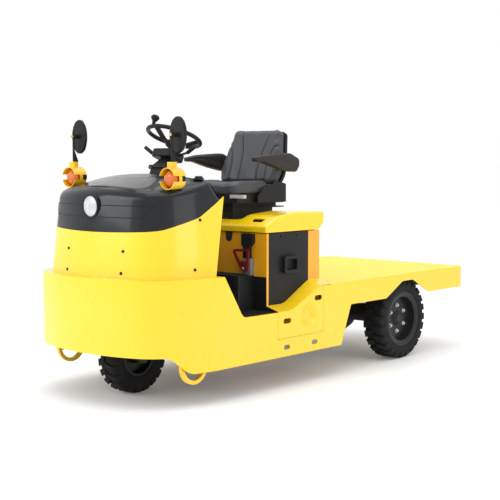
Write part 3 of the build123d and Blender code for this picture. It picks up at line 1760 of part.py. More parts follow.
with BuildPart() as tow_loops:
    with BuildSketch(Plane.YZ.offset(loop_x - loop_bar / 2)):
        for radius, mode in (
            (loop_mid_radius + loop_bar / 2, Mode.ADD),
            (loop_mid_radius - loop_bar / 2, Mode.SUBTRACT),
        ):
            with Locations((loop_y, loop_centre_z)):
                Circle(radius, mode=mode)
            with Locations((loop_y, (loop_centre_z + diaphragm_z) / 2)):
                Rectangle(2 * radius, diaphragm_z - loop_centre_z, mode=mode)
    extrude(amount=loop_bar)
    mirror(about=Plane.YZ)
finish(tow_loops, "tow_loops")
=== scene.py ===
"""Looks of an electric tow tractor: materials, seat pads, tyre tread, bolts, floor, light and camera."""

from math import cos, exp, pi, radians, sin

import bmesh
import bpy
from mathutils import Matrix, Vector
from mathutils.bvhtree import BVHTree


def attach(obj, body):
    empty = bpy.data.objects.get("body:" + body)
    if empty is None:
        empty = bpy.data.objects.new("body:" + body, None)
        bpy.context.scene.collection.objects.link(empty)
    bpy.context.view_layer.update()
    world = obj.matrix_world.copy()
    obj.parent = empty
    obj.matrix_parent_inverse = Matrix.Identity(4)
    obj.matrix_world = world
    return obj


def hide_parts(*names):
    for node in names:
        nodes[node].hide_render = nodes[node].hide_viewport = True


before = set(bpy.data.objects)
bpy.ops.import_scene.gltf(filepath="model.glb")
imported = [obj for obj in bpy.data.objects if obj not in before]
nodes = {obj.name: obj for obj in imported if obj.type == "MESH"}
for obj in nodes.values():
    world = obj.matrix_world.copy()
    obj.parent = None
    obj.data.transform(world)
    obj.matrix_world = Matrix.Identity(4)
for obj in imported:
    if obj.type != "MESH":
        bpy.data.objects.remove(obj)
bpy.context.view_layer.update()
scene = bpy.context.scene
scene.view_settings.view_transform = "Standard"

# Camera: the photograph's viewing point and angle
camera_place = Vector((4.1448, -4.7767, 1.1850))
camera_turn = radians(41.686)
camera_dip = radians(4.7)
camera_lens = 79.17
camera_sensor = 36.0

camera_data = bpy.data.cameras.new("camera")
camera_data.lens = camera_lens
camera_data.sensor_width = camera_sensor
camera = bpy.data.objects.new("camera", camera_data)
camera.location = camera_place
camera.rotation_euler = (pi / 2 - camera_dip, 0, camera_turn)
scene.collection.objects.link(camera)
scene.camera = camera


# Materials: each has patches of two near colours, a roughness that varies and a fine grain, and the
# hard ones have soft edges
coat_roughness = 0.06
noise_low = 0.3
noise_high = 0.7
roughness_patches = 7
grain_strength = 0.6
rib_strength = 0.8

# A mix node's sockets for colours, which only their numbers tell from those for its other kinds
mix_share = 0
mix_first = 6
mix_second = 7
mix_result = 2


def noise(tree, place, scale, detail=3.0):
    texture = tree.nodes.new("ShaderNodeTexNoise")
    texture.inputs["Scale"].default_value = scale
    texture.inputs["Detail"].default_value = detail
    tree.links.new(place.outputs["Object"], texture.inputs["Vector"])
    return texture


def surface(
    name,
    light,
    dark,
    rough,
    metallic=0.0,
    coat=0.0,
    patch=2.5,
    grain=300.0,
    depth=0.0001,
    edge=0.0015,
    cells=False,
    glow=0.0,
    shine=0.5,
):
    """A procedural material.

    light and dark are its two colours, rough its lowest and highest roughness, patch and grain the
    scales of its patches and its grain. depth is the grain's height and edge the edges' radius, in metres.
    """
    material = bpy.data.materials.new(name)
    material.use_nodes = True
    tree = material.node_tree
    shader = tree.nodes["Principled BSDF"]
    shader.inputs["Metallic"].default_value = metallic
    shader.inputs["Specular IOR Level"].default_value = shine
    shader.inputs["Coat Weight"].default_value = coat
    shader.inputs["Coat Roughness"].default_value = coat_roughness
    if glow > 0:
        shader.inputs["Emission Color"].default_value = (*light, 1)
        shader.inputs["Emission Strength"].default_value = glow
    place = tree.nodes.new("ShaderNodeTexCoord")

    blend = tree.nodes.new("ShaderNodeMix")
    blend.data_type = "RGBA"
    blend.inputs[mix_first].default_value = (*light, 1)
    blend.inputs[mix_second].default_value = (*dark, 1)
    tree.links.new(noise(tree, place, patch).outputs["Fac"], blend.inputs[mix_share])
    tree.links.new(blend.outputs[mix_result], shader.inputs["Base Color"])

    spread = tree.nodes.new("ShaderNodeMapRange")
    spread.inputs["From Min"].default_value = noise_low
    spread.inputs["From Max"].default_value = noise_high
    spread.inputs["To Min"].default_value = rough[0]
    spread.inputs["To Max"].default_value = rough[1]
    tree.links.new(noise(tree, place, patch * roughness_patches).outputs["Fac"], spread.inputs["Value"])
    tree.links.new(spread.outputs["Result"], shader.inputs["Roughness"])

    if cells:
        height = tree.nodes.new("ShaderNodeTexVoronoi")
        height.inputs["Scale"].default_value = grain
        tree.links.new(place.outputs["Object"], height.inputs["Vector"])
        height_out = height.outputs["Distance"]
    else:
        height_out = noise(tree, place, grain, 2.0).outputs["Fac"]
    bump = tree.nodes.new("ShaderNodeBump")
    bump.inputs["Distance"].default_value = depth
    bump.inputs["Strength"].default_value = grain_strength
    tree.links.new(height_out, bump.inputs["Height"])
    if edge > 0:
        bevel = tree.nodes.new("ShaderNodeBevel")
        bevel.samples = 4
        bevel.inputs["Radius"].default_value = edge
        tree.links.new(bevel.outputs["Normal"], bump.inputs["Normal"])
    tree.links.new(bump.outputs["Normal"], shader.inputs["Normal"])
    return material


def ribbed(material, scale, depth):
    """Adds moulded ribs to a lens, as bands over its grain."""
    tree = material.node_tree
    place = next(node for node in tree.nodes if node.type == "TEX_COORD")
    grain = next(node for node in tree.nodes if node.type == "BUMP")
    bands = tree.nodes.new("ShaderNodeTexWave")
    bands.inputs["Scale"].default_value = scale
    tree.links.new(place.outputs["Object"], bands.inputs["Vector"])
    ribs = tree.nodes.new("ShaderNodeBump")
    ribs.inputs["Distance"].default_value = depth
    ribs.inputs["Strength"].default_value = rib_strength
    tree.links.new(bands.outputs["Fac"], ribs.inputs["Height"])
    tree.links.new(grain.outputs["Normal"], ribs.inputs["Normal"])
    shader = tree.nodes["Principled BSDF"]
    tree.links.new(ribs.outputs["Normal"], shader.inputs["Normal"])
    return material


paints = {
    "body_yellow": surface("body_paint", (0.95, 0.64, 0.006), (0.92, 0.59, 0.004), (0.22, 0.32), coat=0.5),
    "housing_yellow": surface(
        "housing_paint", (0.88, 0.40, 0.010), (0.83, 0.36, 0.008), (0.28, 0.40), coat=0.3
    ),
    "deck_yellow": surface("deck_paint", (0.95, 0.72, 0.060), (0.90, 0.64, 0.030), (0.35, 0.55), patch=9.0),
    "hood_black": surface(
        "hood_gloss", (0.011, 0.013, 0.016), (0.007, 0.008, 0.010), (0.16, 0.26), coat=0.2, shine=0.2
    ),
    "black_plastic": surface(
        "black_moulding", (0.014, 0.014, 0.015), (0.008, 0.008, 0.009), (0.38, 0.55), depth=0.0002, shine=0.2
    ),
    "grey_plastic": surface("grey_moulding", (0.55, 0.54, 0.51), (0.44, 0.43, 0.41), (0.35, 0.5)),
    "red_plastic": surface("red_moulding", (0.22, 0.010, 0.012), (0.15, 0.006, 0.008), (0.3, 0.45), coat=0.2),
    "amber_plastic": ribbed(
        surface("amber_lens", (0.80, 0.20, 0.018), (0.60, 0.11, 0.010), (0.10, 0.18), coat=0.3, patch=40.0),
        scale=60,
        depth=0.0012,
    ),
    "tail_red": ribbed(
        surface("red_lens", (0.45, 0.010, 0.010), (0.30, 0.006, 0.006), (0.08, 0.16), coat=1.0),
        scale=60,
        depth=0.0010,
    ),
    "lamp_yellow": surface(
        "guard_paint", (0.90, 0.55, 0.012), (0.80, 0.44, 0.008), (0.25, 0.38), coat=0.4, patch=12
    ),
    "clear_glass": ribbed(
        surface("lamp_glass", (0.80, 0.82, 0.84), (0.36, 0.38, 0.40), (0.04, 0.10), coat=0.6, patch=26),
        scale=45,
        depth=0.0015,
    ),
    "black_steel": surface(
        "black_enamel", (0.018, 0.018, 0.018), (0.010, 0.010, 0.010), (0.35, 0.55), patch=8, shine=0.2
    ),
    "grey_steel": surface("grey_enamel", (0.30, 0.30, 0.30), (0.20, 0.20, 0.20), (0.35, 0.5), metallic=0.4),
    "bright_steel": surface(
        "zinc", (0.62, 0.61, 0.58), (0.48, 0.47, 0.45), (0.25, 0.4), metallic=1.0, patch=30
    ),
    "battery_case": surface(
        "battery_box", (0.035, 0.037, 0.04), (0.022, 0.023, 0.025), (0.5, 0.65), shine=0.2
    ),
    "seat_vinyl": surface(
        "seat_cover",
        (0.062, 0.066, 0.072),
        (0.042, 0.045, 0.050),
        (0.32, 0.44),
        grain=700,
        depth=0.00025,
        edge=0,
        cells=True,
        shine=0.35,
    ),
    "armrest_foam": surface(
        "armrest_skin",
        (0.036, 0.032, 0.030),
        (0.024, 0.021, 0.020),
        (0.42, 0.55),
        grain=900,
        depth=0.0002,
        edge=0,
        cells=True,
        shine=0.2,
    ),
    "tyre": surface(
        "rubber", (0.020, 0.020, 0.021), (0.012, 0.012, 0.012), (0.62, 0.8), patch=14, shine=0.12
    ),
    "wheel_black": surface(
        "wheel_paint", (0.016, 0.016, 0.017), (0.009, 0.009, 0.009), (0.32, 0.45), shine=0.25
    ),
    "axle_iron": surface(
        "cast_iron",
        (0.05, 0.05, 0.052),
        (0.03, 0.03, 0.031),
        (0.5, 0.7),
        metallic=0.5,
        patch=12,
        grain=160,
        depth=0.0006,
    ),
    "motor_grey": surface("motor_paint", (0.16, 0.17, 0.18), (0.11, 0.115, 0.12), (0.4, 0.55), patch=10),
}
brass = surface("brass", (0.62, 0.45, 0.16), (0.48, 0.33, 0.10), (0.25, 0.4), metallic=1.0, patch=40)
mirror_silver = surface("mirror_silver", (0.90, 0.91, 0.92), (0.86, 0.87, 0.88), (0.02, 0.04), metallic=1.0)
# A near-black finish of painted shade, for beads and sheets that stand for shadow in seams and in the battery
# wall's notch
painted_shade = surface("seam_shadow", (0.010, 0.010, 0.011), (0.006, 0.006, 0.007), (0.6, 0.8))

node_paint = {
    "adjuster_lever": "grey_plastic",
    "battery": "battery_case",
    "battery_housing": "housing_yellow",
    "battery_lid": "body_yellow",
    "body_shell": "body_yellow",
    "cable_connector": "black_plastic",
    "coupling_pin": "bright_steel",
    "cross_members": "black_steel",
    "deck_floor": "deck_yellow",
    "drive_motor": "motor_grey",
    "floor_and_steps": "black_steel",
    "footwell_liner": "black_plastic",
    "frame_rails": "black_steel",
    "front_rim": "wheel_black",
    "handle_bracket": "grey_steel",
    "headlight_bezel": "black_plastic",
    "headlight_lens": "clear_glass",
    "hood": "hood_black",
    "lamp_guards": "lamp_yellow",
    "lamp_lenses": "amber_plastic",
    "lamp_sockets": "black_plastic",
    "leaf_springs": "black_steel",
    "lid_supports": "black_steel",
    "mirrors": "black_plastic",
    "nose_panel": "body_yellow",
    "pedal_set": "black_plastic",
    "pull_handle": "red_plastic",
    "rear_axle": "axle_iron",
    "rear_rim_left": "wheel_black",
    "rear_rim_right": "wheel_black",
    "seat_back_shell": "black_plastic",
    "seat_frame": "black_steel",
    "side_hatches": "body_yellow",
    "side_ledges": "body_yellow",
    "side_panels": "black_steel",
    "spring_hangers": "black_steel",
    "steer_fork": "axle_iron",
    "steering_column": "black_plastic",
    "steering_deck": "axle_iron",
    "steering_wheel": "black_plastic",
    "tail_lamps": "tail_red",
    "tow_coupling": "black_steel",
    "tow_loops": "body_yellow",
}
for node_name, paint in node_paint.items():
    mesh = nodes[node_name].data
    mesh.materials.clear()
    mesh.materials.append(paints[paint])


# Helpers for the added pieces
up = Vector((0, 0, 1))
to_front = Vector((0, -1, 0))
both_sides = ((1, "left"), (-1, "right"))


def new_piece(name, mesh, body, slot, material=None):
    """An object in the scene that rides on a body and takes a slot's finish."""
    piece = bpy.data.objects.new(name, mesh)
    scene.collection.objects.link(piece)
    mesh.materials.clear()
    mesh.materials.append(material or paints[slot])
    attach(piece, body)
    return piece


def smooth_faces(shape):
    for face in shape.faces:
        face.smooth = True


def to_mesh(name, shape):
    bmesh.ops.recalc_face_normals(shape, faces=shape.faces)
    mesh = bpy.data.meshes.new(name)
    shape.to_mesh(mesh)
    shape.free()
    return mesh


def add_ring_stack(shape, rings):
    """Joins equal rings of points into one skin with closed ends."""
    made = [[shape.verts.new(point) for point in ring] for ring in rings]
    for lower, upper in zip(made, made[1:]):
        for here in range(len(lower)):
            after = (here + 1) % len(lower)
            shape.faces.new((lower[here], lower[after], upper[after], upper[here]))
    shape.faces.new(made[0])
    shape.faces.new(made[-1])


def across(direction):
    """Two directions square to this one and to each other."""
    direction = direction.normalized()
    first = direction.orthogonal().normalized()
    return first, direction.cross(first)


def add_head(shape, point, direction, radius, height, sides=6, sunk=0.001):
    """A bolt's head with a chamfered rim, standing on a surface."""
    first, second = across(direction)
    shoulder = 0.7
    crown = 0.78
    rings = []
    for out, size in ((-sunk, 1.0), (height * shoulder, 1.0), (height, crown)):
        ring = []
        for step in range(sides):
            turn = 2 * pi * step / sides
            ring.append(point + direction * out + (first * cos(turn) + second * sin(turn)) * radius * size)
        rings.append(ring)
    add_ring_stack(shape, rings)


node_trees = {}


def cast(node_name, origin, direction):
    """Where a ray first meets a CAD node, with the surface's outward direction there."""
    if node_name not in node_trees:
        shape = bmesh.new()
        shape.from_mesh(nodes[node_name].data)
        node_trees[node_name] = BVHTree.FromBMesh(shape)
        shape.free()
    point, normal, _, _ = node_trees[node_name].ray_cast(Vector(origin), Vector(direction).normalized())
    if point is None:
        return None, None
    if normal.dot(Vector(direction)) > 0:
        normal = -normal
    return point, normal


def first_hit(node_names, origin, direction):
    """Where a ray meets the first of these nodes that it meets at all."""
    for node_name in node_names:
        point, normal = cast(node_name, origin, direction)
        if point:
            return point, normal
    return None, None


def tube(name, points, radius, body, slot, material):
    """A round bead along a line of points, as a mesh."""
    curve = bpy.data.curves.new(name, "CURVE")
    curve.dimensions = "3D"
    curve.bevel_depth = radius
    curve.bevel_resolution = 3
    line = curve.splines.new("POLY")
    line.points.add(len(points) - 1)
    for spot, point in zip(line.points, points):
        spot.co = (*point, 1)
    helper = bpy.data.objects.new(name + "_line", curve)
    mesh = bpy.data.meshes.new_from_object(helper)
    bpy.data.objects.remove(helper)
    for face in mesh.polygons:
        face.use_smooth = True
    return new_piece(name, mesh, body, slot, material)


# Seat pads: each starts as its CAD solid, is remeshed, blown up as cloth, then pressed in along its seams
pad_frames = 20
facing_start = 0.15
facing_span = 0.5


def distance_to_line(u, v, line):
    """How far a point in a plane lies from a line of points."""
    nearest = float("inf")
    for (au, av), (bu, bv) in zip(line, line[1:]):
        length2 = (bu - au) ** 2 + (bv - av) ** 2
        share = max(0.0, min(1.0, ((u - au) * (bu - au) + (v - av) * (bv - av)) / length2))
        gap = ((u - au - share * (bu - au)) ** 2 + (v - av - share * (bv - av)) ** 2) ** 0.5
        nearest = min(nearest, gap)
    return nearest


def shift_all(piece, shift):
    """Moves each vertex by what shift gives for its place and its outward direction."""
    spots = [(vertex.co.copy(), vertex.normal.copy()) for vertex in piece.data.vertices]
    for vertex, (place, outward) in zip(piece.data.vertices, spots):
        vertex.co = place + shift(place, outward)


def baked(piece):
    """The piece with its modifiers made real."""
    depsgraph = bpy.context.evaluated_depsgraph_get()
    mesh = bpy.data.meshes.new_from_object(piece.evaluated_get(depsgraph))
    piece.modifiers.clear()
    piece.data = mesh


def padded_copy(name, node_name, shrink, voxel, pressure, cap):
    """A soft copy of a CAD solid, swollen by cloth pressure but held within a few millimetres."""
    shape = bmesh.new()
    shape.from_mesh(nodes[node_name].data)
    bmesh.ops.remove_doubles(shape, verts=shape.verts, dist=0.00001)
    piece = bpy.data.objects.new(name, to_mesh(name, shape))
    scene.collection.objects.link(piece)
    remesh = piece.modifiers.new("remesh", "REMESH")
    remesh.mode = "VOXEL"
    remesh.voxel_size = voxel
    soften = piece.modifiers.new("soften", "SMOOTH")
    soften.iterations = 4
    baked(piece)
    shift_all(piece, lambda place, outward: -outward * shrink)
    rest = [vertex.co.copy() for vertex in piece.data.vertices]
    cloth = piece.modifiers.new("cloth", "CLOTH")
    cloth.settings.use_pressure = True
    cloth.settings.uniform_pressure_force = pressure
    cloth.settings.effector_weights.gravity = 0
    cloth.settings.quality = 4
    cloth.point_cache.frame_start = 1
    cloth.point_cache.frame_end = pad_frames
    for step in range(1, pad_frames + 1):
        scene.frame_set(step)
    baked(piece)
    scene.frame_set(1)
    for vertex, start in zip(piece.data.vertices, rest):
        move = vertex.co - start
        if move.length > cap:
            vertex.co = start + move.normalized() * cap
    return piece


def facing_share(outward, facing):
    """0 for a surface that looks aside, rising to 1 for one that faces this way."""
    return max(0.0, min(1.0, (outward.dot(facing) - facing_start) / facing_span))


def press_seams(piece, place_of, facing, lines, reach, depth):
    """Sinks a soft valley along each seam, on the side that faces a direction."""

    def valley(place, outward):
        share = facing_share(outward, facing)
        if share == 0:
            return Vector()
        u, v = place_of(place)
        nearest = min(distance_to_line(u, v, line) for line in lines)
        return -facing * share * depth * exp(-((nearest / reach) ** 2))

    shift_all(piece, valley)


def dress_pad(piece, node_name, body, slot, smooth_levels):
    """Gives a pad its finish, its body and its place in the stead of a CAD node."""
    if smooth_levels:
        piece.modifiers.new("subdivide", "SUBSURF").levels = smooth_levels
        baked(piece)
    for face in piece.data.polygons:
        face.use_smooth = True
    piece.data.materials.clear()
    piece.data.materials.append(paints[slot])
    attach(piece, body)
    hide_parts(node_name)


# Seat back: seams run up the pad, two beside the middle and two that curve round the side panels.
# They are given across and up the pad, from its foot
back_lean = radians(18.5)
back_foot = Vector((0, -0.172, 1.048))
back_out = Vector((0, -cos(back_lean), sin(back_lean)))
back_up = Vector((0, sin(back_lean), cos(back_lean)))
middle_seam = ((0.068, -0.02), (0.066, 0.113), (0.074, 0.195), (0.092, 0.262), (0.121, 0.35))
outer_seam = ((0.135, -0.02), (0.133, 0.113), (0.142, 0.178), (0.164, 0.221), (0.215, 0.252))


def mirrored(line):
    return tuple((-u, v) for u, v in line)


def on_back(point):
    out = point - back_foot
    return out.x, out.dot(back_up)


back_seams = (middle_seam, mirrored(middle_seam), outer_seam, mirrored(outer_seam))

bolster_height = 0.012
bolster_from = 0.075
bolster_reach = 0.05
lumbar_height = 0.008
lumbar_v = 0.09
lumbar_reach_v = 0.06
lumbar_reach_u = 0.09


def back_crown(place, outward):
    """Raised sides and a low swelling for the small of the back."""
    u, v = on_back(place)
    bolster = bolster_height * (1 - exp(-((max(0.0, abs(u) - bolster_from) / bolster_reach) ** 2)))
    lumbar = lumbar_height * exp(-(((v - lumbar_v) / lumbar_reach_v) ** 2))
    lumbar *= exp(-((u / lumbar_reach_u) ** 2))
    return back_out * facing_share(outward, back_out) * (lumbar - bolster_height + bolster)


back_pad = padded_copy("seat_back_pad", "seat_back", shrink=0.004, voxel=0.0055, pressure=4.0, cap=0.009)
shift_all(back_pad, back_crown)
press_seams(back_pad, on_back, back_out, back_seams, reach=0.0048, depth=0.0075)
dress_pad(back_pad, "seat_back", "lid", "seat_vinyl", smooth_levels=1)

# Seat cushion: a middle panel between raised sides, with a seam across the front
cushion_seams = (
    ((0.128, -0.16), (0.128, -0.40), (0.140, -0.452), (0.160, -0.52)),
    ((-0.128, -0.16), (-0.128, -0.40), (-0.140, -0.452), (-0.160, -0.52)),
    ((-0.132, -0.415), (-0.06, -0.425), (0.06, -0.425), (0.132, -0.415)),
)
pan_top_z = 1.0005
side_height = 0.010
side_from = 0.09
side_reach = 0.06
front_depth = 0.014
front_y = -0.50
front_reach = 0.045


def cushion_crown(place, outward):
    """Raised sides, a front that rolls down, and a flat underside on the pan."""
    rise = max(0.0, pan_top_z - place.z)
    side_rise = side_height * (1 - exp(-((max(0.0, abs(place.x) - side_from) / side_reach) ** 2)))
    front_drop = front_depth * exp(-(((place.y - front_y) / front_reach) ** 2))
    rise += facing_share(outward, up) * (side_rise - side_height - front_drop)
    return Vector((0, 0, rise))


cushion_pad = padded_copy(
    "seat_cushion_pad", "seat_cushion", shrink=0.004, voxel=0.0055, pressure=4.0, cap=0.009
)
shift_all(cushion_pad, cushion_crown)
press_seams(cushion_pad, lambda point: (point.x, point.y), up, cushion_seams, reach=0.0048, depth=0.006)
dress_pad(cushion_pad, "seat_cushion", "lid", "seat_vinyl", smooth_levels=1)


# Seam lines: dark beads of painted shade in the valleys of the back and the cushion, standing for the seams'
# shadow
seam_radius = 0.0017
seam_steps = 10
off_pad = 0.1
over_cushion_z = 1.2


def lay_seam(name, pad, spots, direction):
    """A dark bead of painted shade that lies in its valley. spots are points in front of the pad."""
    shape = bmesh.new()
    shape.from_mesh(pad.data)
    tree = BVHTree.FromBMesh(shape)
    shape.free()
    path = []
    for start, end in zip(spots, spots[1:]):
        for step in range(seam_steps):
            point, _, _, _ = tree.ray_cast(start.lerp(end, step / seam_steps), direction)
            if point:
                path.append(point)
    tube(name, path, seam_radius, "lid", "seat_vinyl", painted_shade)


for number, line in enumerate(back_seams):
    spots = [back_foot + Vector((u, 0, 0)) + back_up * v + back_out * off_pad for u, v in line]
    lay_seam(f"back_seam_{number + 1}", back_pad, spots, -back_out)
for number, line in enumerate(cushion_seams):
    spots = [Vector((x, y, over_cushion_z)) for x, y in line]
    lay_seam(f"cushion_seam_{number + 1}", cushion_pad, spots, -up)

# Armrests: foam with a moulded line along each side, given as Y and Z
armrest_line = (
    (-0.375, 1.186),
    (-0.30, 1.192),
    (-0.20, 1.186),
    (-0.12, 1.166),
    (-0.06, 1.138),
    (-0.035, 1.120),
)
for _, side_name in both_sides:
    arm = f"armrest_{side_name}"
    armrest = padded_copy(f"{arm}_pad", arm, shrink=0.001, voxel=0.0035, pressure=2.0, cap=0.002)
    for facing in (Vector((1, 0, 0)), Vector((-1, 0, 0))):
        press_seams(
            armrest, lambda point: (point.y, point.z), facing, (armrest_line,), reach=0.0035, depth=0.0028
        )
    dress_pad(armrest, arm, arm, "armrest_foam", smooth_levels=0)


# Tyres: a carcass turned from its section, with lugs from the middle over the shoulder on both sides
def on_wheel(centre, x, reach, turn):
    """A point at this distance and angle round a wheel's axle."""
    return centre + Vector((x, reach * cos(turn), reach * sin(turn)))


def lathe(shape, section, centre, steps=96):
    """Turns a closed section of (x, radius) points about the wheel's axle."""
    turns = [2 * pi * step / steps for step in range(steps)]
    rings = [[shape.verts.new(on_wheel(centre, x, radius, turn)) for turn in turns] for x, radius in section]
    for ring, following in zip(rings, rings[1:] + rings[:1]):
        for step in range(steps):
            after = (step + 1) % steps
            shape.faces.new((ring[step], ring[after], following[after], following[step]))


def treaded_tyre(name, node_name, body, centre, radius, half, bead, lugs, tread_depth):
    """A tyre with lugs. half is half its width, bead the radius of its inner edge."""
    shape = bmesh.new()
    under = radius - tread_depth
    half_section = [
        (half - 0.008, bead),
        (half - 0.003, bead + 0.005),
        (half - 0.004, bead + 0.011),
        (half - 0.001, bead + 0.016),
        (half, (bead + under) / 2),
        (half - 0.003, under - 0.022),
        (half - 0.010, under - 0.008),
        (half - 0.024, under - 0.001),
        (half * 0.4, under),
    ]
    section = half_section + [(-x, r) for x, r in reversed(half_section)]
    lathe(shape, section, centre)
    smooth_faces(shape)

    pitch = 2 * pi / lugs
    # x share, radius drop and width share, from the middle of the tread to the side wall
    lug_line = (
        (0.06, 0.000, 0.50),
        (0.45, 0.000, 0.56),
        (0.84, 0.002, 0.62),
        (0.965, 0.012, 0.62),
        (0.995, 0.026, 0.58),
        (0.985, 0.040, 0.46),
    )
    slant = 0.42
    foot_sunk = tread_depth + 0.004
    foot_spread = 1.12
    foot_inset = 0.03
    for side in (-1, 1):
        for lug in range(lugs):
            turn = pitch * (lug + (0.5 if side > 0 else 0.0))
            rows = []
            for share, drop, width in lug_line:
                middle = turn + pitch * slant * share
                row = []
                for sunk, spread, inset in ((foot_sunk, foot_spread, foot_inset), (0.0, 1.0, 0.0)):
                    x = side * half * share * (1 - inset)
                    reach = radius - drop - sunk
                    for half_width in (-width / 2, width / 2):
                        angle = middle + pitch * half_width * spread
                        row.append(shape.verts.new(on_wheel(centre, x, reach, angle)))
                low_left, low_right, high_left, high_right = row
                rows.append((low_left, low_right, high_right, high_left))
            for here, after in zip(rows, rows[1:]):
                for corner in range(4):
                    following = (corner + 1) % 4
                    shape.faces.new((here[corner], here[following], after[following], after[corner]))
            shape.faces.new(rows[0])
            shape.faces.new(rows[-1])
    piece = new_piece(name, to_mesh(name, shape), body, "tyre")
    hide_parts(node_name)


front_axle_y = -1.025
front_radius = 0.1915
rear_axle_x = 0.430
rear_axle_y = 0.700
rear_radius = 0.2375
treaded_tyre(
    "front_tread",
    "front_tyre",
    "front_wheel",
    Vector((0, front_axle_y, front_radius)),
    front_radius,
    half=0.0565,
    bead=0.104,
    lugs=20,
    tread_depth=0.010,
)
for side, side_name in both_sides:
    treaded_tyre(
        f"rear_tread_{side_name}",
        f"rear_tyre_{side_name}",
        f"rear_wheel_{side_name}",
        Vector((side * rear_axle_x, rear_axle_y, rear_radius)),
        rear_radius,
        half=0.0685,
        bead=0.1635,
        lugs=24,
        tread_depth=0.012,
    )

# Wheel bolts: six on each rear rim, each a washer and a head
bolt_circle = 0.078
beside_wheel_x = 0.60
for side, side_name in both_sides:
    shape = bmesh.new()
    outward = Vector((side, 0, 0))
    for step in range(6):
        turn = 2 * pi * step / 6 + pi / 6
        start = (
            side * beside_wheel_x,
            rear_axle_y + bolt_circle * cos(turn),
            rear_radius + bolt_circle * sin(turn),
        )
        point, _ = cast(f"rear_rim_{side_name}", start, -outward)
        if point:
            add_head(shape, point, outward, 0.0135, 0.003, sides=24)
            add_head(shape, point, outward, 0.0100, 0.011)
    bolts = to_mesh("wheel_bolts", shape)
    new_piece(f"wheel_bolts_{side_name}", bolts, f"rear_wheel_{side_name}", "bright_steel")

# Body bolts: where the photograph shows them, set on the surface that carries them, and those of the
# side on both sides
photo_size = 500
nose_bolts = ((69, 248), (123, 251.5), (67.5, 269), (121, 273.5))
side_bolts = ((200, 220), (195, 270))
bolt_carriers = ("nose_panel", "body_shell")


def sight(px, py):
    """The direction from the camera through a point of the square photograph."""
    focal = camera_lens / camera_sensor * photo_size
    turn = camera.rotation_euler.to_matrix()
    return (turn @ Vector((px - photo_size / 2, photo_size / 2 - py, -focal))).normalized()


def add_body_bolt(shape, point, facing):
    add_head(shape, point, facing, 0.0075, 0.004, sides=16)
    add_head(shape, point, facing, 0.0045, 0.0065)


shape = bmesh.new()
for px, py in nose_bolts:
    point, normal = first_hit(bolt_carriers, camera_place, sight(px, py))
    if point:
        add_body_bolt(shape, point, normal)
for px, py in side_bolts:
    point, normal = first_hit(bolt_carriers, camera_place, sight(px, py))
    if point:
        for side, _ in both_sides:
            spot = Vector((side * point.x, point.y, point.z))
            add_body_bolt(shape, spot, Vector((side * normal.x, normal.y, normal.z)))
new_piece("body_bolts", to_mesh("body_bolts", shape), "root", "black_steel")

# Bolts in the pull handle's bar
handle_bolt_xs = (0.268, 0.312)
handle_bolt_z = 0.616
before_handle_y = -0.80
shape = bmesh.new()
for x in handle_bolt_xs:
    point, _ = cast("pull_handle", (x, before_handle_y, handle_bolt_z), -to_front)
    if point:
        add_head(shape, point, to_front, 0.009, 0.006)
new_piece("handle_bolts", to_mesh("handle_bolts", shape), "root", "bright_steel")

# Hood: a raised panel on its top, and a cap
panel_half = 0.285
panel_front_y = -1.235
panel_rear_y = -0.985
panel_corner = 0.075
panel_rise = 0.006
panel_slope = 0.022
panel_skirt = 0.004
panel_sunk = 0.0006
over_hood_z = 1.4
steps_x = 90
steps_y = 44


def inside_panel(x, y):
    """How far a point lies inside the raised panel's rounded outline."""
    mid_y = (panel_front_y + panel_rear_y) / 2
    over_x = abs(x) - (panel_half - panel_corner)
    over_y = abs(y - mid_y) - ((panel_rear_y - panel_front_y) / 2 - panel_corner)
    outside = (max(over_x, 0) ** 2 + max(over_y, 0) ** 2) ** 0.5
    return panel_corner - outside - min(max(over_x, over_y), 0)


shape = bmesh.new()
grid = {}
for step_x in range(steps_x + 1):
    for step_y in range(steps_y + 1):
        x = -panel_half + 2 * panel_half * step_x / steps_x
        y = panel_front_y + (panel_rear_y - panel_front_y) * step_y / steps_y
        depth = inside_panel(x, y)
        point, _ = cast("hood", (x, y, over_hood_z), -up)
        if depth < -panel_skirt or not point:
            continue
        share = max(0.0, min(1.0, depth / panel_slope))
        rise = panel_rise * share * share * (3 - 2 * share) - (panel_sunk if depth < 0.001 else 0.0)
        grid[step_x, step_y] = shape.verts.new(point + Vector((0, 0, rise)))
for (step_x, step_y), corner in grid.items():
    cell = [grid.get(spot) for spot in ((step_x + 1, step_y), (step_x + 1, step_y + 1), (step_x, step_y + 1))]
    if None not in cell:
        shape.faces.new((corner, *cell))
smooth_faces(shape)
new_piece("hood_panel", to_mesh("hood_panel", shape), "root", "black_plastic", paints["hood_black"])

cap_x = 0.360
cap_y = -0.905
point, _ = cast("hood", (cap_x, cap_y, over_hood_z), -up)
shape = bmesh.new()
if point:
    add_head(shape, point, up, 0.027, 0.008, sides=40)
    add_head(shape, point, up, 0.020, 0.017, sides=12)
new_piece("hood_cap", to_mesh("hood_cap", shape), "root", "black_plastic")

# Headlight lines: a moulded line round each side of the headlight, given by corners as X and Z
before_nose_y = -1.8
hood_front_y = -1.0
line_proud = 0.0003
line_radius = 0.0022
groove_top = 0.965
groove_foot = 0.908
groove_inner = 0.066
groove_outer_top = 0.352
groove_outer_foot = 0.318
groove_steps = 24


def on_hood_front(x, z):
    """A point just before the front of the hood or the headlight's bezel."""
    for node_name in ("hood", "headlight_bezel"):
        point, normal = cast(node_name, (x, before_nose_y, z), -to_front)
        if point and point.y < hood_front_y:
            return point + normal * line_proud
    return None


def between(start, end, steps):
    """Evenly spaced (x, z) points from the start up to just before the end."""
    points = []
    for step in range(steps):
        x = start[0] + (end[0] - start[0]) * step / steps
        z = start[1] + (end[1] - start[1]) * step / steps
        points.append((x, z))
    return points


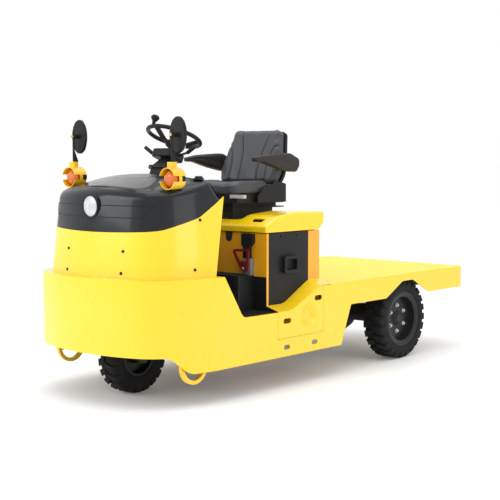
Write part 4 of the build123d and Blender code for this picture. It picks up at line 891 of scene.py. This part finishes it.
for side, side_name in both_sides:
    corners = (
        (side * groove_inner, groove_top),
        (side * groove_outer_top, groove_top),
        (side * groove_outer_foot, groove_foot + 0.006),
        (side * (groove_outer_foot - 0.012), groove_foot),
        (side * (groove_inner - 0.005), groove_foot),
    )
    path = []
    for start, end in zip(corners, corners[1:]):
        path += between(start, end, groove_steps)
    path.append(corners[-1])
    points = [point for point in (on_hood_front(x, z) for x, z in path) if point]
    tube(f"hood_line_{side_name}", points, line_radius, "root", "black_plastic", paints["black_plastic"])

# Chequer plate: raised lozenges over the deck, turned alternately
deck_top = 0.515
over_deck_z = 0.7
flat_within = 0.003
lozenge_pitch = 0.034
lozenge_long = 0.0125
lozenge_wide = 0.0042
lozenge_high = 0.0014
lozenge_columns = 29
lozenge_rows = 39
lozenge_first_x = -0.490
lozenge_first_y = -0.020
lozenge_rim = ((1, 0), (0.35, 0.9), (-0.35, 0.9), (-1, 0), (-0.35, -0.9), (0.35, -0.9))
lozenge_crest = (0.6, -0.6)
shape = bmesh.new()
for column in range(lozenge_columns):
    x = lozenge_first_x + column * lozenge_pitch
    for row in range(lozenge_rows):
        y = lozenge_first_y + row * lozenge_pitch
        turn = radians(45 if (row + column) % 2 else -45)
        along = Vector((cos(turn), sin(turn), 0))
        beside = Vector((-sin(turn), cos(turn), 0))
        point, _ = cast("deck_floor", (x, y, over_deck_z), -up)
        if point and abs(point.z - deck_top) < flat_within:
            rim = [
                shape.verts.new(point + along * a * lozenge_long + beside * b * lozenge_wide)
                for a, b in lozenge_rim
            ]
            crest = [
                shape.verts.new(point + along * a * lozenge_long + up * lozenge_high) for a in lozenge_crest
            ]
            shape.faces.new((rim[0], rim[1], crest[0]))
            shape.faces.new((rim[1], rim[2], crest[1], crest[0]))
            shape.faces.new((rim[2], rim[3], crest[1]))
            shape.faces.new((rim[3], rim[4], crest[1]))
            shape.faces.new((rim[4], rim[5], crest[0], crest[1]))
            shape.faces.new((rim[5], rim[0], crest[0]))
new_piece("deck_pattern", to_mesh("deck_pattern", shape), "root", "deck_yellow")

# Operator's floor: a rubber mat with ribs across the vehicle
mat_half = 0.335
mat_low_y = -0.800
mat_rib = 0.016
mat_ribs = 18
mat_sheet = 0.003
mat_crest = 0.005
mat_foot = 0.0002
mat_end_y = mat_low_y + mat_ribs * mat_rib
point, _ = cast("floor_and_steps", (0.0, -0.60, 0.70), -up)
floor_z = point.z if point else 0.583
shape = bmesh.new()
outline = [(mat_low_y, mat_foot)]
for rib in range(mat_ribs):
    for share, high in ((0.0, mat_sheet), (0.5, mat_sheet), (0.58, mat_crest), (0.92, mat_crest)):
        outline.append((mat_low_y + (rib + share) * mat_rib, high))
outline += [(mat_end_y, mat_sheet), (mat_end_y, mat_foot)]
rings = [[Vector((x, along, floor_z + high)) for along, high in outline] for x in (-mat_half, mat_half)]
add_ring_stack(shape, rings)
new_piece("floor_mat", to_mesh("floor_mat", shape), "root", "black_plastic", paints["tyre"])

# Mirrors: silvered glass on the driver's side and a brass clamp on each stem
mirror_x = 0.366
mirror_z = 1.304
glass_half = 0.047
glass_high = 0.081
glass_steps = 64
glass_square = 3.2
behind_mirror_y = -0.80
before_mirror_y = -1.60
for side, side_name in both_sides:
    point, _ = cast("mirrors", (side * mirror_x, behind_mirror_y, mirror_z), to_front)
    if not point:
        continue
    shape = bmesh.new()
    rings = []
    for out, size in ((-0.0005, 1.0), (0.0015, 1.0), (0.0022, 0.97)):
        ring = []
        for step in range(glass_steps):
            turn = 2 * pi * step / glass_steps
            bend = (abs(cos(turn)) ** glass_square + abs(sin(turn)) ** glass_square) ** (-1 / glass_square)
            glass_x = glass_half * size * bend * cos(turn)
            glass_z = glass_high * size * bend * sin(turn)
            ring.append(point + Vector((glass_x, out, glass_z)))
        rings.append(ring)
    add_ring_stack(shape, rings)
    glass = to_mesh("mirror_glass", shape)
    new_piece(f"mirror_glass_{side_name}", glass, "root", "bright_steel", mirror_silver)

for side, side_name in both_sides:
    shape = bmesh.new()
    point, _ = cast("mirrors", (side * mirror_x, before_mirror_y, mirror_z), -to_front)
    if point:
        add_head(shape, point, to_front, 0.0085, 0.007)
    clamp = to_mesh("mirror_clamp", shape)
    new_piece(f"mirror_clamp_{side_name}", clamp, "root", "bright_steel", brass)

# Battery wall: a flat dark sheet of painted shade in the shape of the notch under the lid
notch_x = 0.177
notch_half = 0.022
notch_foot = 0.752
notch_top = 0.802
notch_steps = 16
notch_bend_z = notch_foot + notch_half
wall_face_ys = (-0.4898, -0.4912)
shape = bmesh.new()
rings = []
for y in wall_face_ys:
    ring = [Vector((notch_x + notch_half, y, notch_top)), Vector((notch_x - notch_half, y, notch_top))]
    for step in range(notch_steps + 1):
        turn = pi + pi * step / notch_steps
        ring.append(Vector((notch_x + notch_half * cos(turn), y, notch_bend_z + notch_half * sin(turn))))
    rings.append(ring)
add_ring_stack(shape, rings)
# The sheet is painted shade for the notch's shadowed hollow. The wall itself is not cut.
new_piece("notch_painted_shade", to_mesh("notch_painted_shade", shape), "root", "black_plastic", painted_shade)

# Floor, light and background: a pale studio
floor_mesh = bpy.data.meshes.new("studio_floor")
floor_half = 400
floor_corners = [(x * floor_half, y * floor_half, 0) for x, y in ((-1, -1), (1, -1), (1, 1), (-1, 1))]
floor_mesh.from_pydata(floor_corners, [], [(0, 1, 2, 3)])
pale_floor = surface("pale_floor", (0.93, 0.93, 0.93), (0.91, 0.91, 0.91), (0.55, 0.65), edge=0, glow=0.07)
floor_mesh.materials.append(pale_floor)
studio_floor = bpy.data.objects.new("studio_floor", floor_mesh)
scene.collection.objects.link(studio_floor)

world = bpy.data.worlds.new("studio")
world.use_nodes = True
world.node_tree.nodes["Background"].inputs["Color"].default_value = (1.0, 1.0, 1.0, 1)
world.node_tree.nodes["Background"].inputs["Strength"].default_value = 1.0
scene.world = world


def soft_light(name, place, target, size, energy):
    """A square lamp that looks at a point."""
    light = bpy.data.lights.new(name, "AREA")
    light.shape = "SQUARE"
    light.size = size
    light.energy = energy
    lamp = bpy.data.objects.new(name, light)
    lamp.location = place
    aim = Vector(target) - Vector(place)
    lamp.rotation_euler = aim.to_track_quat("-Z", "Y").to_euler()
    scene.collection.objects.link(lamp)


soft_light("top_light", (0.5, -0.5, 4.5), (0, 0, 0.4), size=4.0, energy=90)
soft_light("key_light", (-2.0, -5.0, 2.6), (0, -0.8, 0.7), size=2.5, energy=85)
soft_light("side_light", (5.5, 0.5, 2.4), (0, 0.2, 0.6), size=2.5, energy=35)
